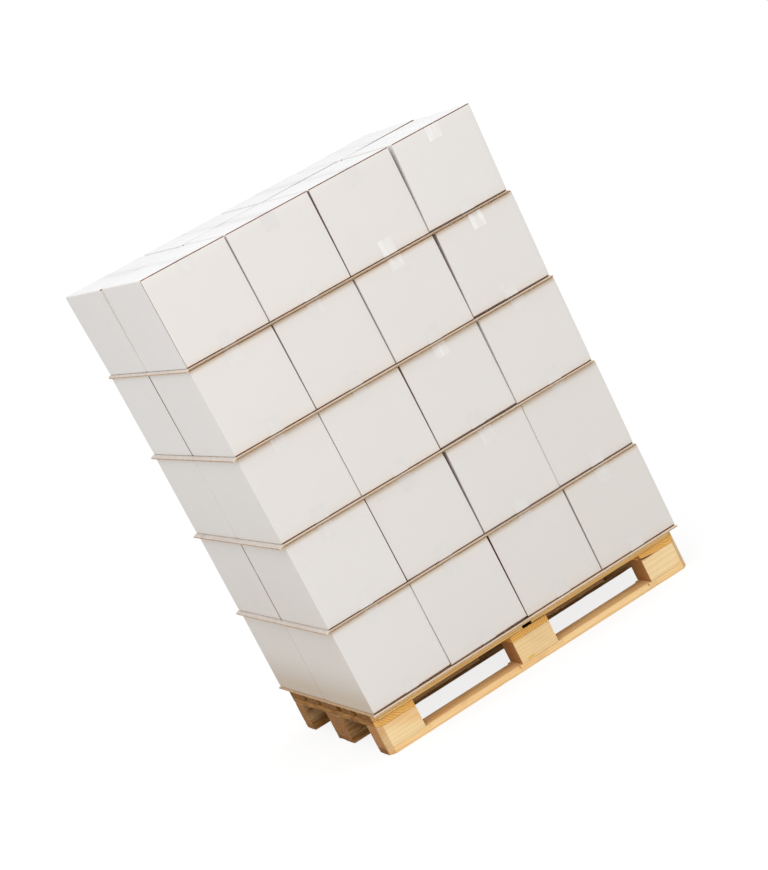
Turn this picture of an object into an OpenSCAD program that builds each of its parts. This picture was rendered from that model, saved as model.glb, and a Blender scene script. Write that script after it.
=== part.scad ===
// Loaded flat pallet: a four-way wooden block pallet that carries layers of plain folded
// cartons, with a corrugated slip sheet under every layer and clear tape over the flaps.
// Millimetres, +Z up. The origin is on the floor under the middle of the pallet; the long
// front side of the pallet faces -Y.

/* [Pallet] */
// Length of the pallet, along X
pallet_l = 1200; // [1000:10:1400]
// Depth of the pallet, along Y
pallet_d = 800; // [700:10:1000]
// Thickness of the deck boards
deck_t = 22; // [16:1:28]
// Thickness of the cross boards under the deck
cross_t = 22; // [16:1:28]
// Thickness of the bottom boards
bottom_t = 22; // [16:1:28]
// Height of the blocks
block_h = 78; // [60:1:100]
// Width of the wide boards, and length of every block
wide_w = 145; // [120:1:160]
// Width of the narrow boards, and width of the outer blocks
narrow_w = 100; // [80:1:115]
// Flat cut off each outer corner of the pallet
corner_cut = 20; // [5:1:40]
// Bevel on the upper edges of the bottom boards, between the blocks
runner_bevel = 12; // [4:1:16]
// Distance from a block to the end of a bevel
bevel_stop = 12; // [4:1:30]
// Length of the notch broken out of the front deck board's lower edge
notch_l = 36; // [10:1:60]
// Height of that notch
notch_h = 10; // [3:1:14]
// Depth of that notch into the board
notch_d = 30; // [5:1:60]
// Length of the splinter torn off the right cross board's front end
splinter_l = 50; // [15:1:70]
// Height of that splinter
splinter_h = 8; // [2:1:14]
// Depth of that splinter into the board
splinter_d = 30; // [8:1:60]

/* [Cartons] */
// Width of a carton's end panel, along X
carton_w = 300; // [260:1:340]
// Length of a carton, along Y
carton_l = 446; // [400:1:480]
// Height of a closed carton
carton_h = 304; // [200:1:340]
// Thickness of the carton board
carton_board_t = 4; // [3:0.5:6]
// Outside radius of the folded creases
fold_r = 4; // [2:0.5:6]
// Distance that the cut ends of the flaps stand back from the end panels
flap_setback = 1; // [0.5:0.5:2]
// Slit between the two outer flaps
flap_slit = 2; // [1:0.5:4]
// Depth of that slit down to the inner flaps
slit_depth = 3.5; // [2:0.5:5]

/* [Tape] */
// Width of the closing tape
tape_w = 50; // [36:1:75]
// Thickness that the tape takes up
tape_t = 0.5; // [0.2:0.1:0.8]
// Length of the tape tab on each end panel
tape_tab = 60; // [30:1:90]

/* [Stack] */
// Layers of cartons
layers = 5; // [1:1:5]
// Gap between the feet of neighbouring cartons in a row
side_gap = 2; // [1:0.5:6]
// Widest gap between the front row and the back row
row_gap = 5; // [1:0.5:12]
// Distance that the load stands out over the front of the pallet
front_overhang = 16; // [0:1:40]
// Largest sideways lean of a carton's top
lean = 13; // [0:1:16]
// Largest sideways step of a layer
layer_play = 9; // [0:1:12]
// Largest step of a carton's end panel in or out of its row
row_play = 3; // [0:0.5:5]

/* [Slip sheets] */
// Thickness of a slip sheet
sheet_t = 4; // [2:0.5:8]
// Widest reach of a sheet past the load
sheet_reach = 16; // [0:1:24]

/* [Hidden] */
columns = 4;
rows = 2;
fold_steps = 4;
overrun = 5;

// Hand-chosen unevenness of the stack, layer by layer from the floor up.
// Lean of each carton from left to right, in the front row and in the back row, as a share
// of the largest lean
lean_shares = [
    [
        [-0.1, -0.15, 0.1, 0.25],
        [-0.2, -0.25, 0.35, 0.4],
        [-0.3, -0.25, 0.0, 0.45],
        [-0.45, -0.25, -0.1, 0.7],
        [-0.4, -0.2, 0.1, 1.0],
    ],
    [
        [-0.1, -0.1, 0.1, 0.2],
        [-0.2, -0.2, 0.2, 0.4],
        [-0.3, -0.2, 0.1, 0.5],
        [-0.5, -0.3, 0.0, 0.6],
        [-1.0, -0.4, 0.2, 0.9],
    ],
];
// Step of each column in or out of the row, as a share of the largest step
depth_shares = [
    [0.2, -0.5, 0.6, -0.2],
    [-0.6, 0.3, -0.4, 0.7],
    [0.5, -0.3, 0.4, -0.6],
    [-0.2, 0.6, -0.7, 0.3],
    [0.4, -0.4, 0.2, -0.8],
];
// Sideways step of each layer, as a share of the largest step
layer_shares = [1.0, 0.6, 0.1, -0.15, -0.7];
// Gap between the two rows in each layer, as a share of the widest gap
row_gap_shares = [0.4, 1.0, 0.4, 1.0, 0.5];
// Reach of each sheet past the load at the left, right, front and back, as shares of the widest reach
sheet_reach_shares = [
    [-0.2, 0.6, 1.0, 0.3],
    [0.45, 0.3, 0.6, 0.5],
    [0.9, 0.1, 0.85, 0.2],
    [1.0, 0.25, 1.0, 0.4],
    [0.9, -0.2, 0.8, 0.6],
];

// Levels of the pallet
block_z = bottom_t;
cross_z = block_z + block_h;
deck_z = cross_z + cross_t;
load_z = deck_z + deck_t;
layer_h = sheet_t + carton_h;

// Places of the pallet's pieces across X and Y
end_x = (pallet_l - wide_w) / 2;
skid_y = (pallet_d - narrow_w) / 2;
deck_widths = [wide_w, narrow_w, wide_w, narrow_w, wide_w];
deck_gap = (pallet_d - 3 * wide_w - 2 * narrow_w) / (len(deck_widths) - 1);

// Footprint of one layer of cartons
load_l = columns * carton_w + (columns - 1) * side_gap;
load_d = rows * carton_l + (rows - 1) * row_gap;
load_y = -pallet_d / 2 - front_overhang + load_d / 2;

PALLET_NODES = [
    "bottom_boards", "blocks_front", "blocks_middle", "blocks_back", "cross_boards", "deck_boards",
];
ROW_NAMES = ["front", "back"];

function sheet_name(layer) = str("slip_sheet_", layer + 1);
function tape_name(layer) = str("tape_layer_", layer + 1);
function carton_name(layer, column, row) =
    str("carton_layer_", layer + 1, "_column_", column + 1, "_", ROW_NAMES[row]);

// Running sum of the first n values of a list
function sum_to(values, n) = n == 0 ? 0 : values[n - 1] + sum_to(values, n - 1);

// Points of an arc from one angle to another
function arc(centre, radius, start, end) = [
    for (i = [0:fold_steps])
        let (a = start + (end - start) * i / fold_steps)
            centre + radius * [cos(a), sin(a)]
];

// Lean of one carton's top to the right
function carton_lean(layer, column, row) = lean * lean_shares[row][layer][column];

// Place of a carton's foot: middle of its width, middle of its length, underside
function carton_place(layer, column, row) = [
    (column - (columns - 1) / 2) * (carton_w + side_gap) + layer_play * layer_shares[layer],
    load_y - load_d / 2 + carton_l / 2 + row * (carton_l + row_gap * row_gap_shares[layer])
        + row_play * depth_shares[layer][column],
    load_z + layer * layer_h + sheet_t,
];

// Plan of the pallet with its cut corners, as a column that every outer piece is trimmed by
module pallet_trim() {
    x = pallet_l / 2;
    y = pallet_d / 2;
    linear_extrude(load_z)
        polygon([
            [corner_cut - x, -y], [x - corner_cut, -y], [x, corner_cut - y], [x, y - corner_cut],
            [x - corner_cut, y], [corner_cut - x, y], [-x, y - corner_cut], [-x, corner_cut - y],
        ]);
}

// One straight board or block, given by its middle in plan, its underside and its size
module timber(place, size) {
    translate([place[0] - size[0] / 2, place[1] - size[1] / 2, place[2]])
        cube(size);
}

// Bevel along both upper edges of a bottom board, over one bay between two blocks
module bay_bevels(bay_x, bay_l, board_w) {
    for (side = [0, 1])
        mirror([0, side, 0])
            translate([bay_x - bay_l / 2, board_w / 2, bottom_t])
                rotate([90, 0, 90])
                    linear_extrude(bay_l)
                        polygon([
                            [-runner_bevel, 0], [-runner_bevel, overrun], [overrun, overrun],
                            [overrun, -runner_bevel], [0, -runner_bevel],
                        ]);
}

// Bottom board under one row of blocks, bevelled in its two open bays
module bottom_board(y, board_w) {
    bay_l = end_x - wide_w - 2 * bevel_stop;
    intersection() {
        pallet_trim();
        translate([0, y, 0])
            difference() {
                timber([0, 0, 0], [pallet_l, board_w, bottom_t]);
                for (side = [-1, 1])
                    bay_bevels(side * end_x / 2, bay_l, board_w);
            }
    }
}

// The three bottom boards
module bottom_boards() {
    color("#b98d57") {
        bottom_board(-skid_y, narrow_w);
        bottom_board(0, wide_w);
        bottom_board(skid_y, narrow_w);
    }
}

// The three blocks of one skid
module block_row(y, block_w) {
    color("#d8b072")
        for (x = [-end_x, 0, end_x])
            intersection() {
                pallet_trim();
                timber([x, y, block_z], [wide_w, block_w, block_h]);
            }
}

// Wedge torn out of the lower left edge at the front of the right cross board
module splinter() {
    translate([end_x - wide_w / 2, -pallet_d / 2 - overrun, cross_z])
        rotate([-90, 0, 0])
            linear_extrude(splinter_d + overrun)
                polygon([
                    [-overrun, overrun], [-overrun, -splinter_h], [0, -splinter_h], [splinter_l, 0],
                    [splinter_l, overrun],
                ]);
}

// The three cross boards on the blocks
module cross_boards() {
    color("#c0894a")
        for (x = [-end_x, 0, end_x])
            difference() {
                intersection() {
                    pallet_trim();
                    timber([x, 0, cross_z], [wide_w, pallet_d, cross_t]);
                }
                if (x > 0) splinter();
            }
}

// Notch broken out of the lower edge of the front deck board, over the middle cross board
module deck_notch() {
    translate([-notch_l / 2, -pallet_d / 2 - overrun, deck_z])
        rotate([90, 0, 90])
            linear_extrude(notch_l)
                polygon([
                    [0, -overrun], [overrun + notch_d, -overrun], [overrun + notch_d, notch_h / 2],
                    [overrun, notch_h], [0, notch_h],
                ]);
}

// The five deck boards, wide and narrow in turn
module deck_boards() {
    color("#c9a066")
        for (i = [0:len(deck_widths) - 1]) {
            board_y = sum_to(deck_widths, i) + i * deck_gap + deck_widths[i] / 2 - pallet_d / 2;
            difference() {
                intersection() {
                    pallet_trim();
                    timber([0, board_y, deck_z], [pallet_l, deck_widths[i], deck_t]);
                }
                if (i == 0) deck_notch();
            }
        }
}

// Corrugated sheet under one layer
module slip_sheet(layer) {
    reach = sheet_reach * sheet_reach_shares[layer];
    size = [load_l + reach[0] + reach[1], load_d + reach[2] + reach[3], sheet_t];
    color("#c7a57a")
        translate([-load_l / 2 - reach[0], load_y - load_d / 2 - reach[2], load_z + layer * layer_h])
            cube(size);
}

// Front view of a closed carton: folded edges, with the top leaning sideways
module carton_profile(top_lean) {
    x = carton_w / 2 - fold_r;
    polygon(concat(
        arc([-x, fold_r], fold_r, 180, 270),
        arc([x, fold_r], fold_r, 270, 360),
        arc([top_lean + x, carton_h - fold_r], fold_r, 0, 90),
        arc([top_lean - x, carton_h - fold_r], fold_r, 90, 180)
    ));
}

// Space at the upper end crease: the end panel rolls inward under the cut ends of the flaps
module end_crease(top_lean) {
    reach = carton_w + abs(top_lean) + overrun;
    translate([-reach, -carton_l / 2, carton_h - carton_board_t])
        rotate([90, 0, 90])
            linear_extrude(2 * reach)
                polygon(concat(
                    [[-overrun, -fold_r]],
                    arc([fold_r, -fold_r], fold_r, 180, 90),
                    [
                        [flap_setback, 0], [flap_setback, carton_board_t + overrun],
                        [-overrun, carton_board_t + overrun],
                    ]
                ));
}

// Rounding of one upright crease, which leans with the carton
module upright_crease(top_lean) {
    upright_h = carton_h - 2 * carton_board_t;
    translate([-carton_w / 2 + top_lean * carton_board_t / carton_h, -carton_l / 2, carton_board_t])
        rotate([0, atan(top_lean / carton_h), 0])
            linear_extrude(upright_h)
                polygon(concat(
                    [[-overrun, -overrun], [fold_r, -overrun]],
                    arc([fold_r, fold_r], fold_r, 270, 180),
                    [[-overrun, fold_r]]
                ));
}

// Strip of tape over the upper flaps, with a tab down each end panel
module tape_strip(reach) {
    translate([-tape_w / 2, -carton_l / 2, carton_h - tape_t])
        cube([tape_w, carton_l, tape_t + reach]);
    for (side = [0, 1])
        mirror([0, side, 0])
            translate([-tape_w / 2, -carton_l / 2 - reach, carton_h - tape_tab])
                cube([tape_w, tape_t + reach, tape_tab + reach]);
}

// Turns what is made for the upper end of a carton over to its lower end too
module both_ends(top_lean) {
    translate([top_lean, 0, 0])
        children();
    translate([0, 0, carton_h])
        mirror([0, 0, 1])
            children();
}

// One closed carton with its foot at the origin
module carton(top_lean) {
    color("#e8e6e2")
        difference() {
            translate([0, carton_l / 2, 0])
                rotate([90, 0, 0])
                    linear_extrude(carton_l)
                        carton_profile(top_lean);
            both_ends(top_lean) {
                for (side = [0, 1])
                    mirror([0, side, 0])
                        end_crease(top_lean);
                translate([-flap_slit / 2, -carton_l / 2 - overrun, carton_h - slit_depth])
                    cube([flap_slit, carton_l + 2 * overrun, slit_depth + overrun]);
                tape_strip(overrun);
            }
            for (side = [0, 1], hand = [0, 1])
                mirror([0, side, 0])
                    mirror([hand, 0, 0])
                        upright_crease(hand == 0 ? top_lean : -top_lean);
        }
}

// All the tape of one layer: two strips on each carton
module layer_tape(layer) {
    color("#d9d5c9")
        for (column = [0:columns - 1], row = [0:rows - 1])
            translate(carton_place(layer, column, row))
                both_ends(carton_lean(layer, column, row))
                    tape_strip(0);
}

bottom_boards();
block_row(-skid_y, narrow_w);  // blocks_front
block_row(0, wide_w);  // blocks_middle
block_row(skid_y, narrow_w);  // blocks_back
cross_boards();
deck_boards();
for (layer = [0:layers - 1]) {
    slip_sheet(layer);
    layer_tape(layer);
    for (column = [0:columns - 1], row = [0:rows - 1])
        translate(carton_place(layer, column, row))
                carton(carton_lean(layer, column, row));
}
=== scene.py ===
"""Looks of a loaded pallet: plain white cartons on corrugated slip sheets, on a wooden block pallet.

Everything is in metres, +Z up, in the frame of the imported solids. Each sub-assembly is a class that
reads its places from the frame, builds its meshes and dresses them.
"""
import itertools
import logging
import math
import random
from dataclasses import dataclass, field
from enum import Enum
from typing import ClassVar, Iterable, NamedTuple, Sequence

import bmesh
import bpy
import numpy as np
from mathutils import Matrix, Vector, noise


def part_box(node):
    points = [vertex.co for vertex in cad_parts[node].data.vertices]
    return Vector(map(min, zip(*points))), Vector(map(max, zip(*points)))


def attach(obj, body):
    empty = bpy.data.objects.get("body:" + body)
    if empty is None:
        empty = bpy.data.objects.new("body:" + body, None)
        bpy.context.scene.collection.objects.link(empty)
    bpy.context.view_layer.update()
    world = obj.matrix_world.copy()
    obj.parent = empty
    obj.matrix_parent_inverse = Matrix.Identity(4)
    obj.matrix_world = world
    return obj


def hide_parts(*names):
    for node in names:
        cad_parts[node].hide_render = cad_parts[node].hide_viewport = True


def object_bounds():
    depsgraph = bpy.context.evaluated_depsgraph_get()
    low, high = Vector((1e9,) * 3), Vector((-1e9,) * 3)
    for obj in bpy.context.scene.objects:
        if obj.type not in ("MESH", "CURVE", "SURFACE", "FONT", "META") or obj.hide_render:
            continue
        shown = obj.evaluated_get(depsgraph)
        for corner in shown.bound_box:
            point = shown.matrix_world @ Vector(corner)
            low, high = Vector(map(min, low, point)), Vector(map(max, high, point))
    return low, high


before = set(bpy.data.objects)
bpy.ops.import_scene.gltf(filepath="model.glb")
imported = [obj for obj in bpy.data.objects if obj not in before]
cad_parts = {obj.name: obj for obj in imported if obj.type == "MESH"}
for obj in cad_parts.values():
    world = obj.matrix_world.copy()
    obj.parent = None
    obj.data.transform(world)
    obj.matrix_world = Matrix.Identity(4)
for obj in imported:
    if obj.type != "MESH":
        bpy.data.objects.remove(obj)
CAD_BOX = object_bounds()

LOG = logging.getLogger("loaded_pallet")
BODY = "root"
Colour = tuple[float, float, float, float]
Socket = bpy.types.NodeSocket
WHITE: Colour = (1.0, 1.0, 1.0, 1.0)
WELD = 1e-6


def tone(red: int, green: int, blue: int) -> Colour:
    """Turns a display colour into the linear colour that shaders take.

    Args:
        red: Red, 0 to 255.
        green: Green, 0 to 255.
        blue: Blue, 0 to 255.

    Returns:
        The linear colour with full alpha.
    """
    def linear(level: int) -> float:
        """Takes one display level to linear light."""
        share = level / 255
        return share / 12.92 if share <= 0.04045 else ((share + 0.055) / 1.055) ** 2.4

    return (linear(red), linear(green), linear(blue), 1.0)


class Axis(Enum):
    """A world axis that wood fibres run along."""

    X = 0
    Y = 1


class Slot(Enum):
    """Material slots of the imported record."""

    CARTON = "white_board"
    SHEET = "brown_board"
    TAPE = "clear_tape"
    BOARD = "board_wood"
    BLOCK = "block_wood"
    RUNNER = "weathered_wood"


class Row(Enum):
    """Rows of cartons, as the names of their solids say it."""

    FRONT = "front"
    BACK = "back"


class Skid(Enum):
    """Rows of blocks under the pallet, by the names of their solids."""

    FRONT = "blocks_front"
    MIDDLE = "blocks_middle"
    BACK = "blocks_back"


class Domain(Enum):
    """What keeps the values of a mesh attribute."""

    POINT = "POINT"
    FACE = "FACE"


class Graph:
    """Adds and links nodes in one node tree."""

    def __init__(self, tree: bpy.types.NodeTree) -> None:
        """Keeps the tree that nodes go into."""
        self.tree = tree

    def add(self, kind: str, inputs: dict | None = None, **settings: object) -> bpy.types.Node:
        """Adds one node.

        Args:
            kind: Blender's type name of the node.
            inputs: Values or output sockets, by input name or index.
            settings: Properties of the node itself.

        Returns:
            The new node.
        """
        node = self.tree.nodes.new(kind)
        for name, value in settings.items():
            setattr(node, name, value)
        for key, value in (inputs or {}).items():
            if isinstance(value, bpy.types.NodeSocket):
                self.link(value, node, key)
            else:
                node.inputs[key].default_value = value
        return node

    def math(self, operation: str, *values: object, clamp: bool = False) -> Socket:
        """Adds a Math node and returns its result."""
        node = self.add("ShaderNodeMath", dict(enumerate(values)), operation=operation, use_clamp=clamp)
        return node.outputs[0]

    def plus(self, first: object, second: object, clamp: bool = False) -> Socket:
        """Adds two values."""
        return self.math("ADD", first, second, clamp=clamp)

    def times(self, first: object, second: object, clamp: bool = False) -> Socket:
        """Multiplies two values."""
        return self.math("MULTIPLY", first, second, clamp=clamp)

    def less(self, first: object, second: object) -> Socket:
        """Takes the second value away from the first."""
        return self.math("SUBTRACT", first, second)

    def link(self, socket: Socket, node: bpy.types.Node, name: str | int) -> None:
        """Links a value to an input of a node."""
        self.tree.links.new(socket, node.inputs[name])

    def mix(self, share: object, first: object, second: object, blend: str = "MIX") -> Socket:
        """Mixes two colours.

        Args:
            share: How much of the second colour, 0 to 1.
            first: First colour.
            second: Second colour.
            blend: Blend type of the Mix node.

        Returns:
            The mixed colour's socket.
        """
        inputs = {0: share, 6: first, 7: second}
        return self.add("ShaderNodeMix", inputs, data_type="RGBA", blend_type=blend).outputs[2]

    def noise(self, vector: object, scale: float, detail: float = 3.0, distortion: float = 0.0) -> Socket:
        """Adds a Noise texture and returns its value."""
        inputs = {"Vector": vector, "Scale": scale, "Detail": detail, "Distortion": distortion}
        return self.add("ShaderNodeTexNoise", inputs).outputs["Fac"]

    def stretch(self, vector: object, scale: Sequence[float]) -> Socket:
        """Scales a vector by each axis."""
        node = self.add("ShaderNodeVectorMath", {0: vector, 1: tuple(scale)}, operation="MULTIPLY")
        return node.outputs[0]

    def band(self, value: object, low: float, high: float) -> Socket:
        """Takes a value from low to high smoothly to 0 to 1."""
        inputs = {"Value": value, "From Min": low, "From Max": high}
        return self.add("ShaderNodeMapRange", inputs, interpolation_type="SMOOTHSTEP").outputs["Result"]

    def vector(self, x: object, y: object, z: object) -> Socket:
        """Puts three values together as a vector."""
        return self.add("ShaderNodeCombineXYZ", {0: x, 1: y, 2: z}).outputs[0]

    def part(self, vector: object, axis: str) -> Socket:
        """Takes one axis of a vector."""
        return self.add("ShaderNodeSeparateXYZ", {"Vector": vector}).outputs[axis]

    def within(self, place: Socket, low: Sequence[float], high: Sequence[float],
               soft: float = 0.02) -> Socket:
        """Masks a box.

        Args:
            place: Coordinates to test.
            low: Lowest corner of the box.
            high: Highest corner of the box.
            soft: Share of half the box over which the mask fades on each side of its faces.

        Returns:
            A value that is 1 inside the box and 0 outside it.
        """
        middle = tuple((a + b) / 2 for a, b in zip(low, high))
        away = self.add("ShaderNodeVectorMath", {0: place, 1: middle}, operation="SUBTRACT").outputs[0]
        away = self.stretch(away, [2 / (b - a) for a, b in zip(low, high)])
        away = self.add("ShaderNodeVectorMath", {0: away}, operation="ABSOLUTE").outputs[0]
        parts = self.add("ShaderNodeSeparateXYZ", {"Vector": away}).outputs
        furthest = self.math("MAXIMUM", self.math("MAXIMUM", parts["X"], parts["Y"]), parts["Z"])
        return self.less(1.0, self.band(furthest, 1.0 - soft, 1.0 + soft))

    def attribute(self, name: str, kind: str = "Fac") -> Socket:
        """Reads a mesh attribute, as a value or as a vector."""
        node = self.add("ShaderNodeAttribute", attribute_name=name, attribute_type="GEOMETRY")
        return node.outputs[kind]

    def coordinates(self, kind: str = "Object") -> Socket:
        """Reads the coordinates of the surface."""
        return self.add("ShaderNodeTexCoord").outputs[kind]

    def seen(self) -> Socket:
        """Tells the rays by which the stage is seen from those by which it lights the object.

        Returns:
            A value that is 1 for a ray that sees the stage, straight or in metal or glass, and else 0.
        """
        rays = self.add("ShaderNodeLightPath").outputs
        direct = self.math("MAXIMUM", rays["Is Camera Ray"], rays["Is Glossy Ray"])
        return self.math("MAXIMUM", direct, rays["Is Transmission Ray"])


class EffectGroup:
    """A shader node group with named inputs and outputs, built once and placed in each material."""

    def __init__(self, name: str, inputs: dict[str, float | None], outputs: Sequence[str]) -> None:
        """Makes the empty group.

        Args:
            name: Name of the group.
            inputs: Input names with their default value, or None for a vector.
            outputs: Names of the values that the group puts out.
        """
        self.tree = bpy.data.node_groups.new(name, "ShaderNodeTree")
        for label, value in inputs.items():
            kind = "NodeSocketVector" if value is None else "NodeSocketFloat"
            socket = self.tree.interface.new_socket(label, in_out="INPUT", socket_type=kind)
            if value is not None:
                socket.default_value = value
        for label in outputs:
            self.tree.interface.new_socket(label, in_out="OUTPUT", socket_type="NodeSocketFloat")
        self.graph = Graph(self.tree)
        self.source = self.graph.add("NodeGroupInput").outputs
        self.result = self.graph.add("NodeGroupOutput").inputs

    def put_out(self, label: str, socket: Socket) -> None:
        """Links a value to one of the group's outputs."""
        self.tree.links.new(socket, self.result[label])

    def place(self, graph: Graph, inputs: dict) -> bpy.types.bpy_prop_collection:
        """Places the group in a material and returns its outputs."""
        return graph.add("ShaderNodeGroup", inputs, node_tree=self.tree).outputs


def wood_figure_group() -> EffectGroup:
    """Growth rings, fibres and knots of sawn softwood, from coordinates that run along the grain.

    Returns:
        The group, with Ring, Fibre and Knot outputs.
    """
    group = EffectGroup("wood_figure", {"Grain": None, "Ring Spacing": 0.004}, ("Ring", "Fibre", "Knot"))
    graph, grain = group.graph, group.source["Grain"]
    spread = {"Vector": graph.stretch(grain, (3.2, 9.0, 9.0)), "Scale": 1.0}
    from_knot = graph.add("ShaderNodeTexVoronoi", spread).outputs["Distance"]
    near_knot = graph.less(1.0, graph.band(from_knot, 0.05, 0.34))
    parts = graph.add("ShaderNodeSeparateXYZ", {"Vector": grain}).outputs
    squares = [graph.times(parts[axis], parts[axis]) for axis in ("Y", "Z")]
    radius = graph.math("SQRT", graph.plus(*squares))
    wander = graph.noise(graph.stretch(grain, (1.6, 9.0, 9.0)), 1.0, 2.0)
    bent = graph.plus(radius, graph.times(wander, 0.022))
    bent = graph.plus(bent, graph.times(near_knot, 0.009))
    saw = graph.math("FRACT", graph.math("DIVIDE", bent, group.source["Ring Spacing"]))
    fall = graph.less(1.0, graph.band(saw, 0.86, 1.0))
    group.put_out("Ring", graph.times(graph.band(saw, 0.15, 0.82), fall))
    group.put_out("Fibre", graph.noise(graph.stretch(grain, (14.0, 900.0, 900.0)), 1.0, 3.0))
    group.put_out("Knot", graph.less(1.0, graph.band(from_knot, 0.035, 0.085)))
    return group


def paper_group() -> EffectGroup:
    """Cloudy paper fibre and the faint washboard of the flutes under a liner.

    Returns:
        The group, with Cloud, Speck and Height outputs.
    """
    group = EffectGroup("paper", {"Place": None, "Across Flutes": 0.0, "Flute Pitch": 0.0078},
                        ("Cloud", "Speck", "Height"))
    graph, place = group.graph, group.source["Place"]
    turns = graph.math("DIVIDE", group.source["Across Flutes"], group.source["Flute Pitch"])
    wave = graph.math("SINE", graph.times(turns, math.tau))
    fine = graph.noise(place, 420.0, 2.0)
    group.put_out("Cloud", graph.noise(place, 7.0, 4.0))
    group.put_out("Speck", fine)
    group.put_out("Height", graph.plus(graph.times(wave, 0.5), fine))
    return group


def scuff_group() -> EffectGroup:
    """Thin streaks and rubbed patches of handling wear.

    Returns:
        The group, with a Mask output.
    """
    group = EffectGroup("scuff", {"Place": None, "Amount": 0.5}, ("Mask",))
    graph, place = group.graph, group.source["Place"]
    patches = graph.band(graph.noise(place, 5.0, 3.0), 0.56, 0.74)
    rubs = graph.noise(graph.stretch(place, (30.0, 30.0, 160.0)), 1.0, 4.0, 1.2)
    mask = graph.times(patches, graph.band(rubs, 0.58, 0.72))
    group.put_out("Mask", graph.times(mask, group.source["Amount"]))
    return group


@dataclass(frozen=True)
class Effects:
    """The node groups that several finishes share."""

    wood: EffectGroup
    paper: EffectGroup
    scuff: EffectGroup


class Finish:
    """A material and the graph that it is made with."""

    name: str
    rough: ClassVar[float]
    rougher: ClassVar[float]
    gloss: ClassVar[float] = 0.15
    relief: ClassVar[float] = 0.0001
    relief_strength: ClassVar[float] = 1.0

    def start(self) -> tuple[bpy.types.Material, Graph, bpy.types.Node]:
        """Makes the material with its shader.

        Returns:
            The material, its graph and its Principled shader.
        """
        material = bpy.data.materials.new(self.name)
        material.use_nodes = True
        material.node_tree.nodes.clear()
        graph = Graph(material.node_tree)
        shader = graph.add("ShaderNodeBsdfPrincipled", {"Specular IOR Level": self.gloss})
        graph.add("ShaderNodeOutputMaterial", {"Surface": shader.outputs["BSDF"]})
        return material, graph, shader

    def paint(self, graph: Graph, shader: bpy.types.Node, colour: Socket, uneven: Socket,
              height: Socket) -> None:
        """Puts the colour, the roughness and the fine relief on the shader.

        Args:
            graph: Graph of the material.
            shader: Shader of the material.
            colour: Colour of the surface.
            uneven: Where the surface is rougher, 0 to 1.
            height: Height of the relief, 0 to about 1.
        """
        graph.link(colour, shader, "Base Color")
        graph.link(graph.plus(self.rough, graph.times(uneven, self.rougher)), shader, "Roughness")
        relief = {"Height": height, "Distance": self.relief, "Strength": self.relief_strength}
        graph.link(graph.add("ShaderNodeBump", relief).outputs["Normal"], shader, "Normal")


@dataclass(frozen=True)
class WhiteBoard(Finish):
    """Matt white liner of the cartons, with brown board showing where a crease has rubbed through, and
    painted
    shade: brown on walls hidden in the seams, greyer walls, darker lower left walls and a warm shadow under
    a sheet.
    """

    rough: ClassVar[float] = 0.56
    rougher: ClassVar[float] = 0.16
    relief: ClassVar[float] = 0.00003
    relief_strength: ClassVar[float] = 0.5
    name: str = "white_carton_board"
    white: Colour = tone(240, 239, 238)
    shaded: Colour = tone(238, 237, 236)
    # Painted wall shade: greyer colour that the carton's cast mixes into the walls but not the top, with a
    # little random tone.
    wall_shade_and_tone: Colour = tone(225, 221, 215)
    rubbed: Colour = tone(206, 200, 193)
    brown: Colour = tone(110, 57, 16)
    # Painted warm shadow of the sheet above: colour that the top of a covered carton's end panels is tinted
    # towards.
    sheet_shadow_tint: Colour = tone(222, 208, 190)
    # Painted floor shade: multiplier that darkens and warms the outer left walls towards the foot of the
    # stack.
    floor_shade: Colour = (0.72, 0.63, 0.53, 1.0)
    scuffs: float = 0.35
    sheet_shade: tuple[float, float] = (0.006, 0.02)
    rub_least: float = 0.75
    rub_spread: float = 0.4

    def liner(self, graph: Graph, cloud: Socket) -> Socket:
        """Mixes the colour of the sound liner.

        Args:
            graph: Graph of the material.
            cloud: Soft patches of the paper.

        Returns:
            The colour, with the carton's own cast and its painted wall shade, the painted floor shade on
            the outer left walls and the painted warm shadow under a sheet.
        """
        colour = graph.mix(graph.band(cloud, 0.3, 0.7), self.white, self.shaded)
        # Painted wall shade: the cast greys the walls, more to the right and low in the stack; tops take
        # none.
        colour = graph.mix(graph.attribute("cast"), colour, self.wall_shade_and_tone)
        # Painted floor shade on the outer left walls of the first column.
        colour = graph.mix(graph.attribute("floor_shade_share"), colour, self.floor_shade, "MULTIPLY")
        # Painted warm shadow under a sheet: full within 6 mm of a covered carton's top, fading out by 20
        # mm.
        clear = graph.band(graph.attribute("below_sheet"), *self.sheet_shade)
        return graph.mix(graph.less(1.0, clear), colour, self.sheet_shadow_tint)

    def make(self, effects: Effects) -> bpy.types.Material:
        """Builds the material.

        Args:
            effects: Shared node groups.

        Returns:
            The finished material.
        """
        material, graph, shader = self.start()
        place = graph.coordinates()
        panel = graph.add("ShaderNodeUVMap", uv_map="panel").outputs["UV"]
        paper = effects.paper.place(graph, {"Place": place, "Across Flutes": graph.part(panel, "X")})
        scuff = effects.scuff.place(graph, {"Place": place, "Amount": self.scuffs})
        colour = graph.mix(scuff["Mask"], self.liner(graph, paper["Cloud"]), self.rubbed)
        spread = graph.times(graph.noise(place, 45.0), self.rub_spread)
        # The brown of rubbed creases; on walls hidden in the seams it is painted shade and reflected kraft
        # light.
        wear_and_seam_shade = graph.times(graph.attribute("wear_and_seam_shade"), graph.plus(self.rub_least, spread, clamp=True))
        colour = graph.mix(wear_and_seam_shade, colour, self.brown)
        self.paint(graph, shader, colour, paper["Cloud"], paper["Height"])
        return material


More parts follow.
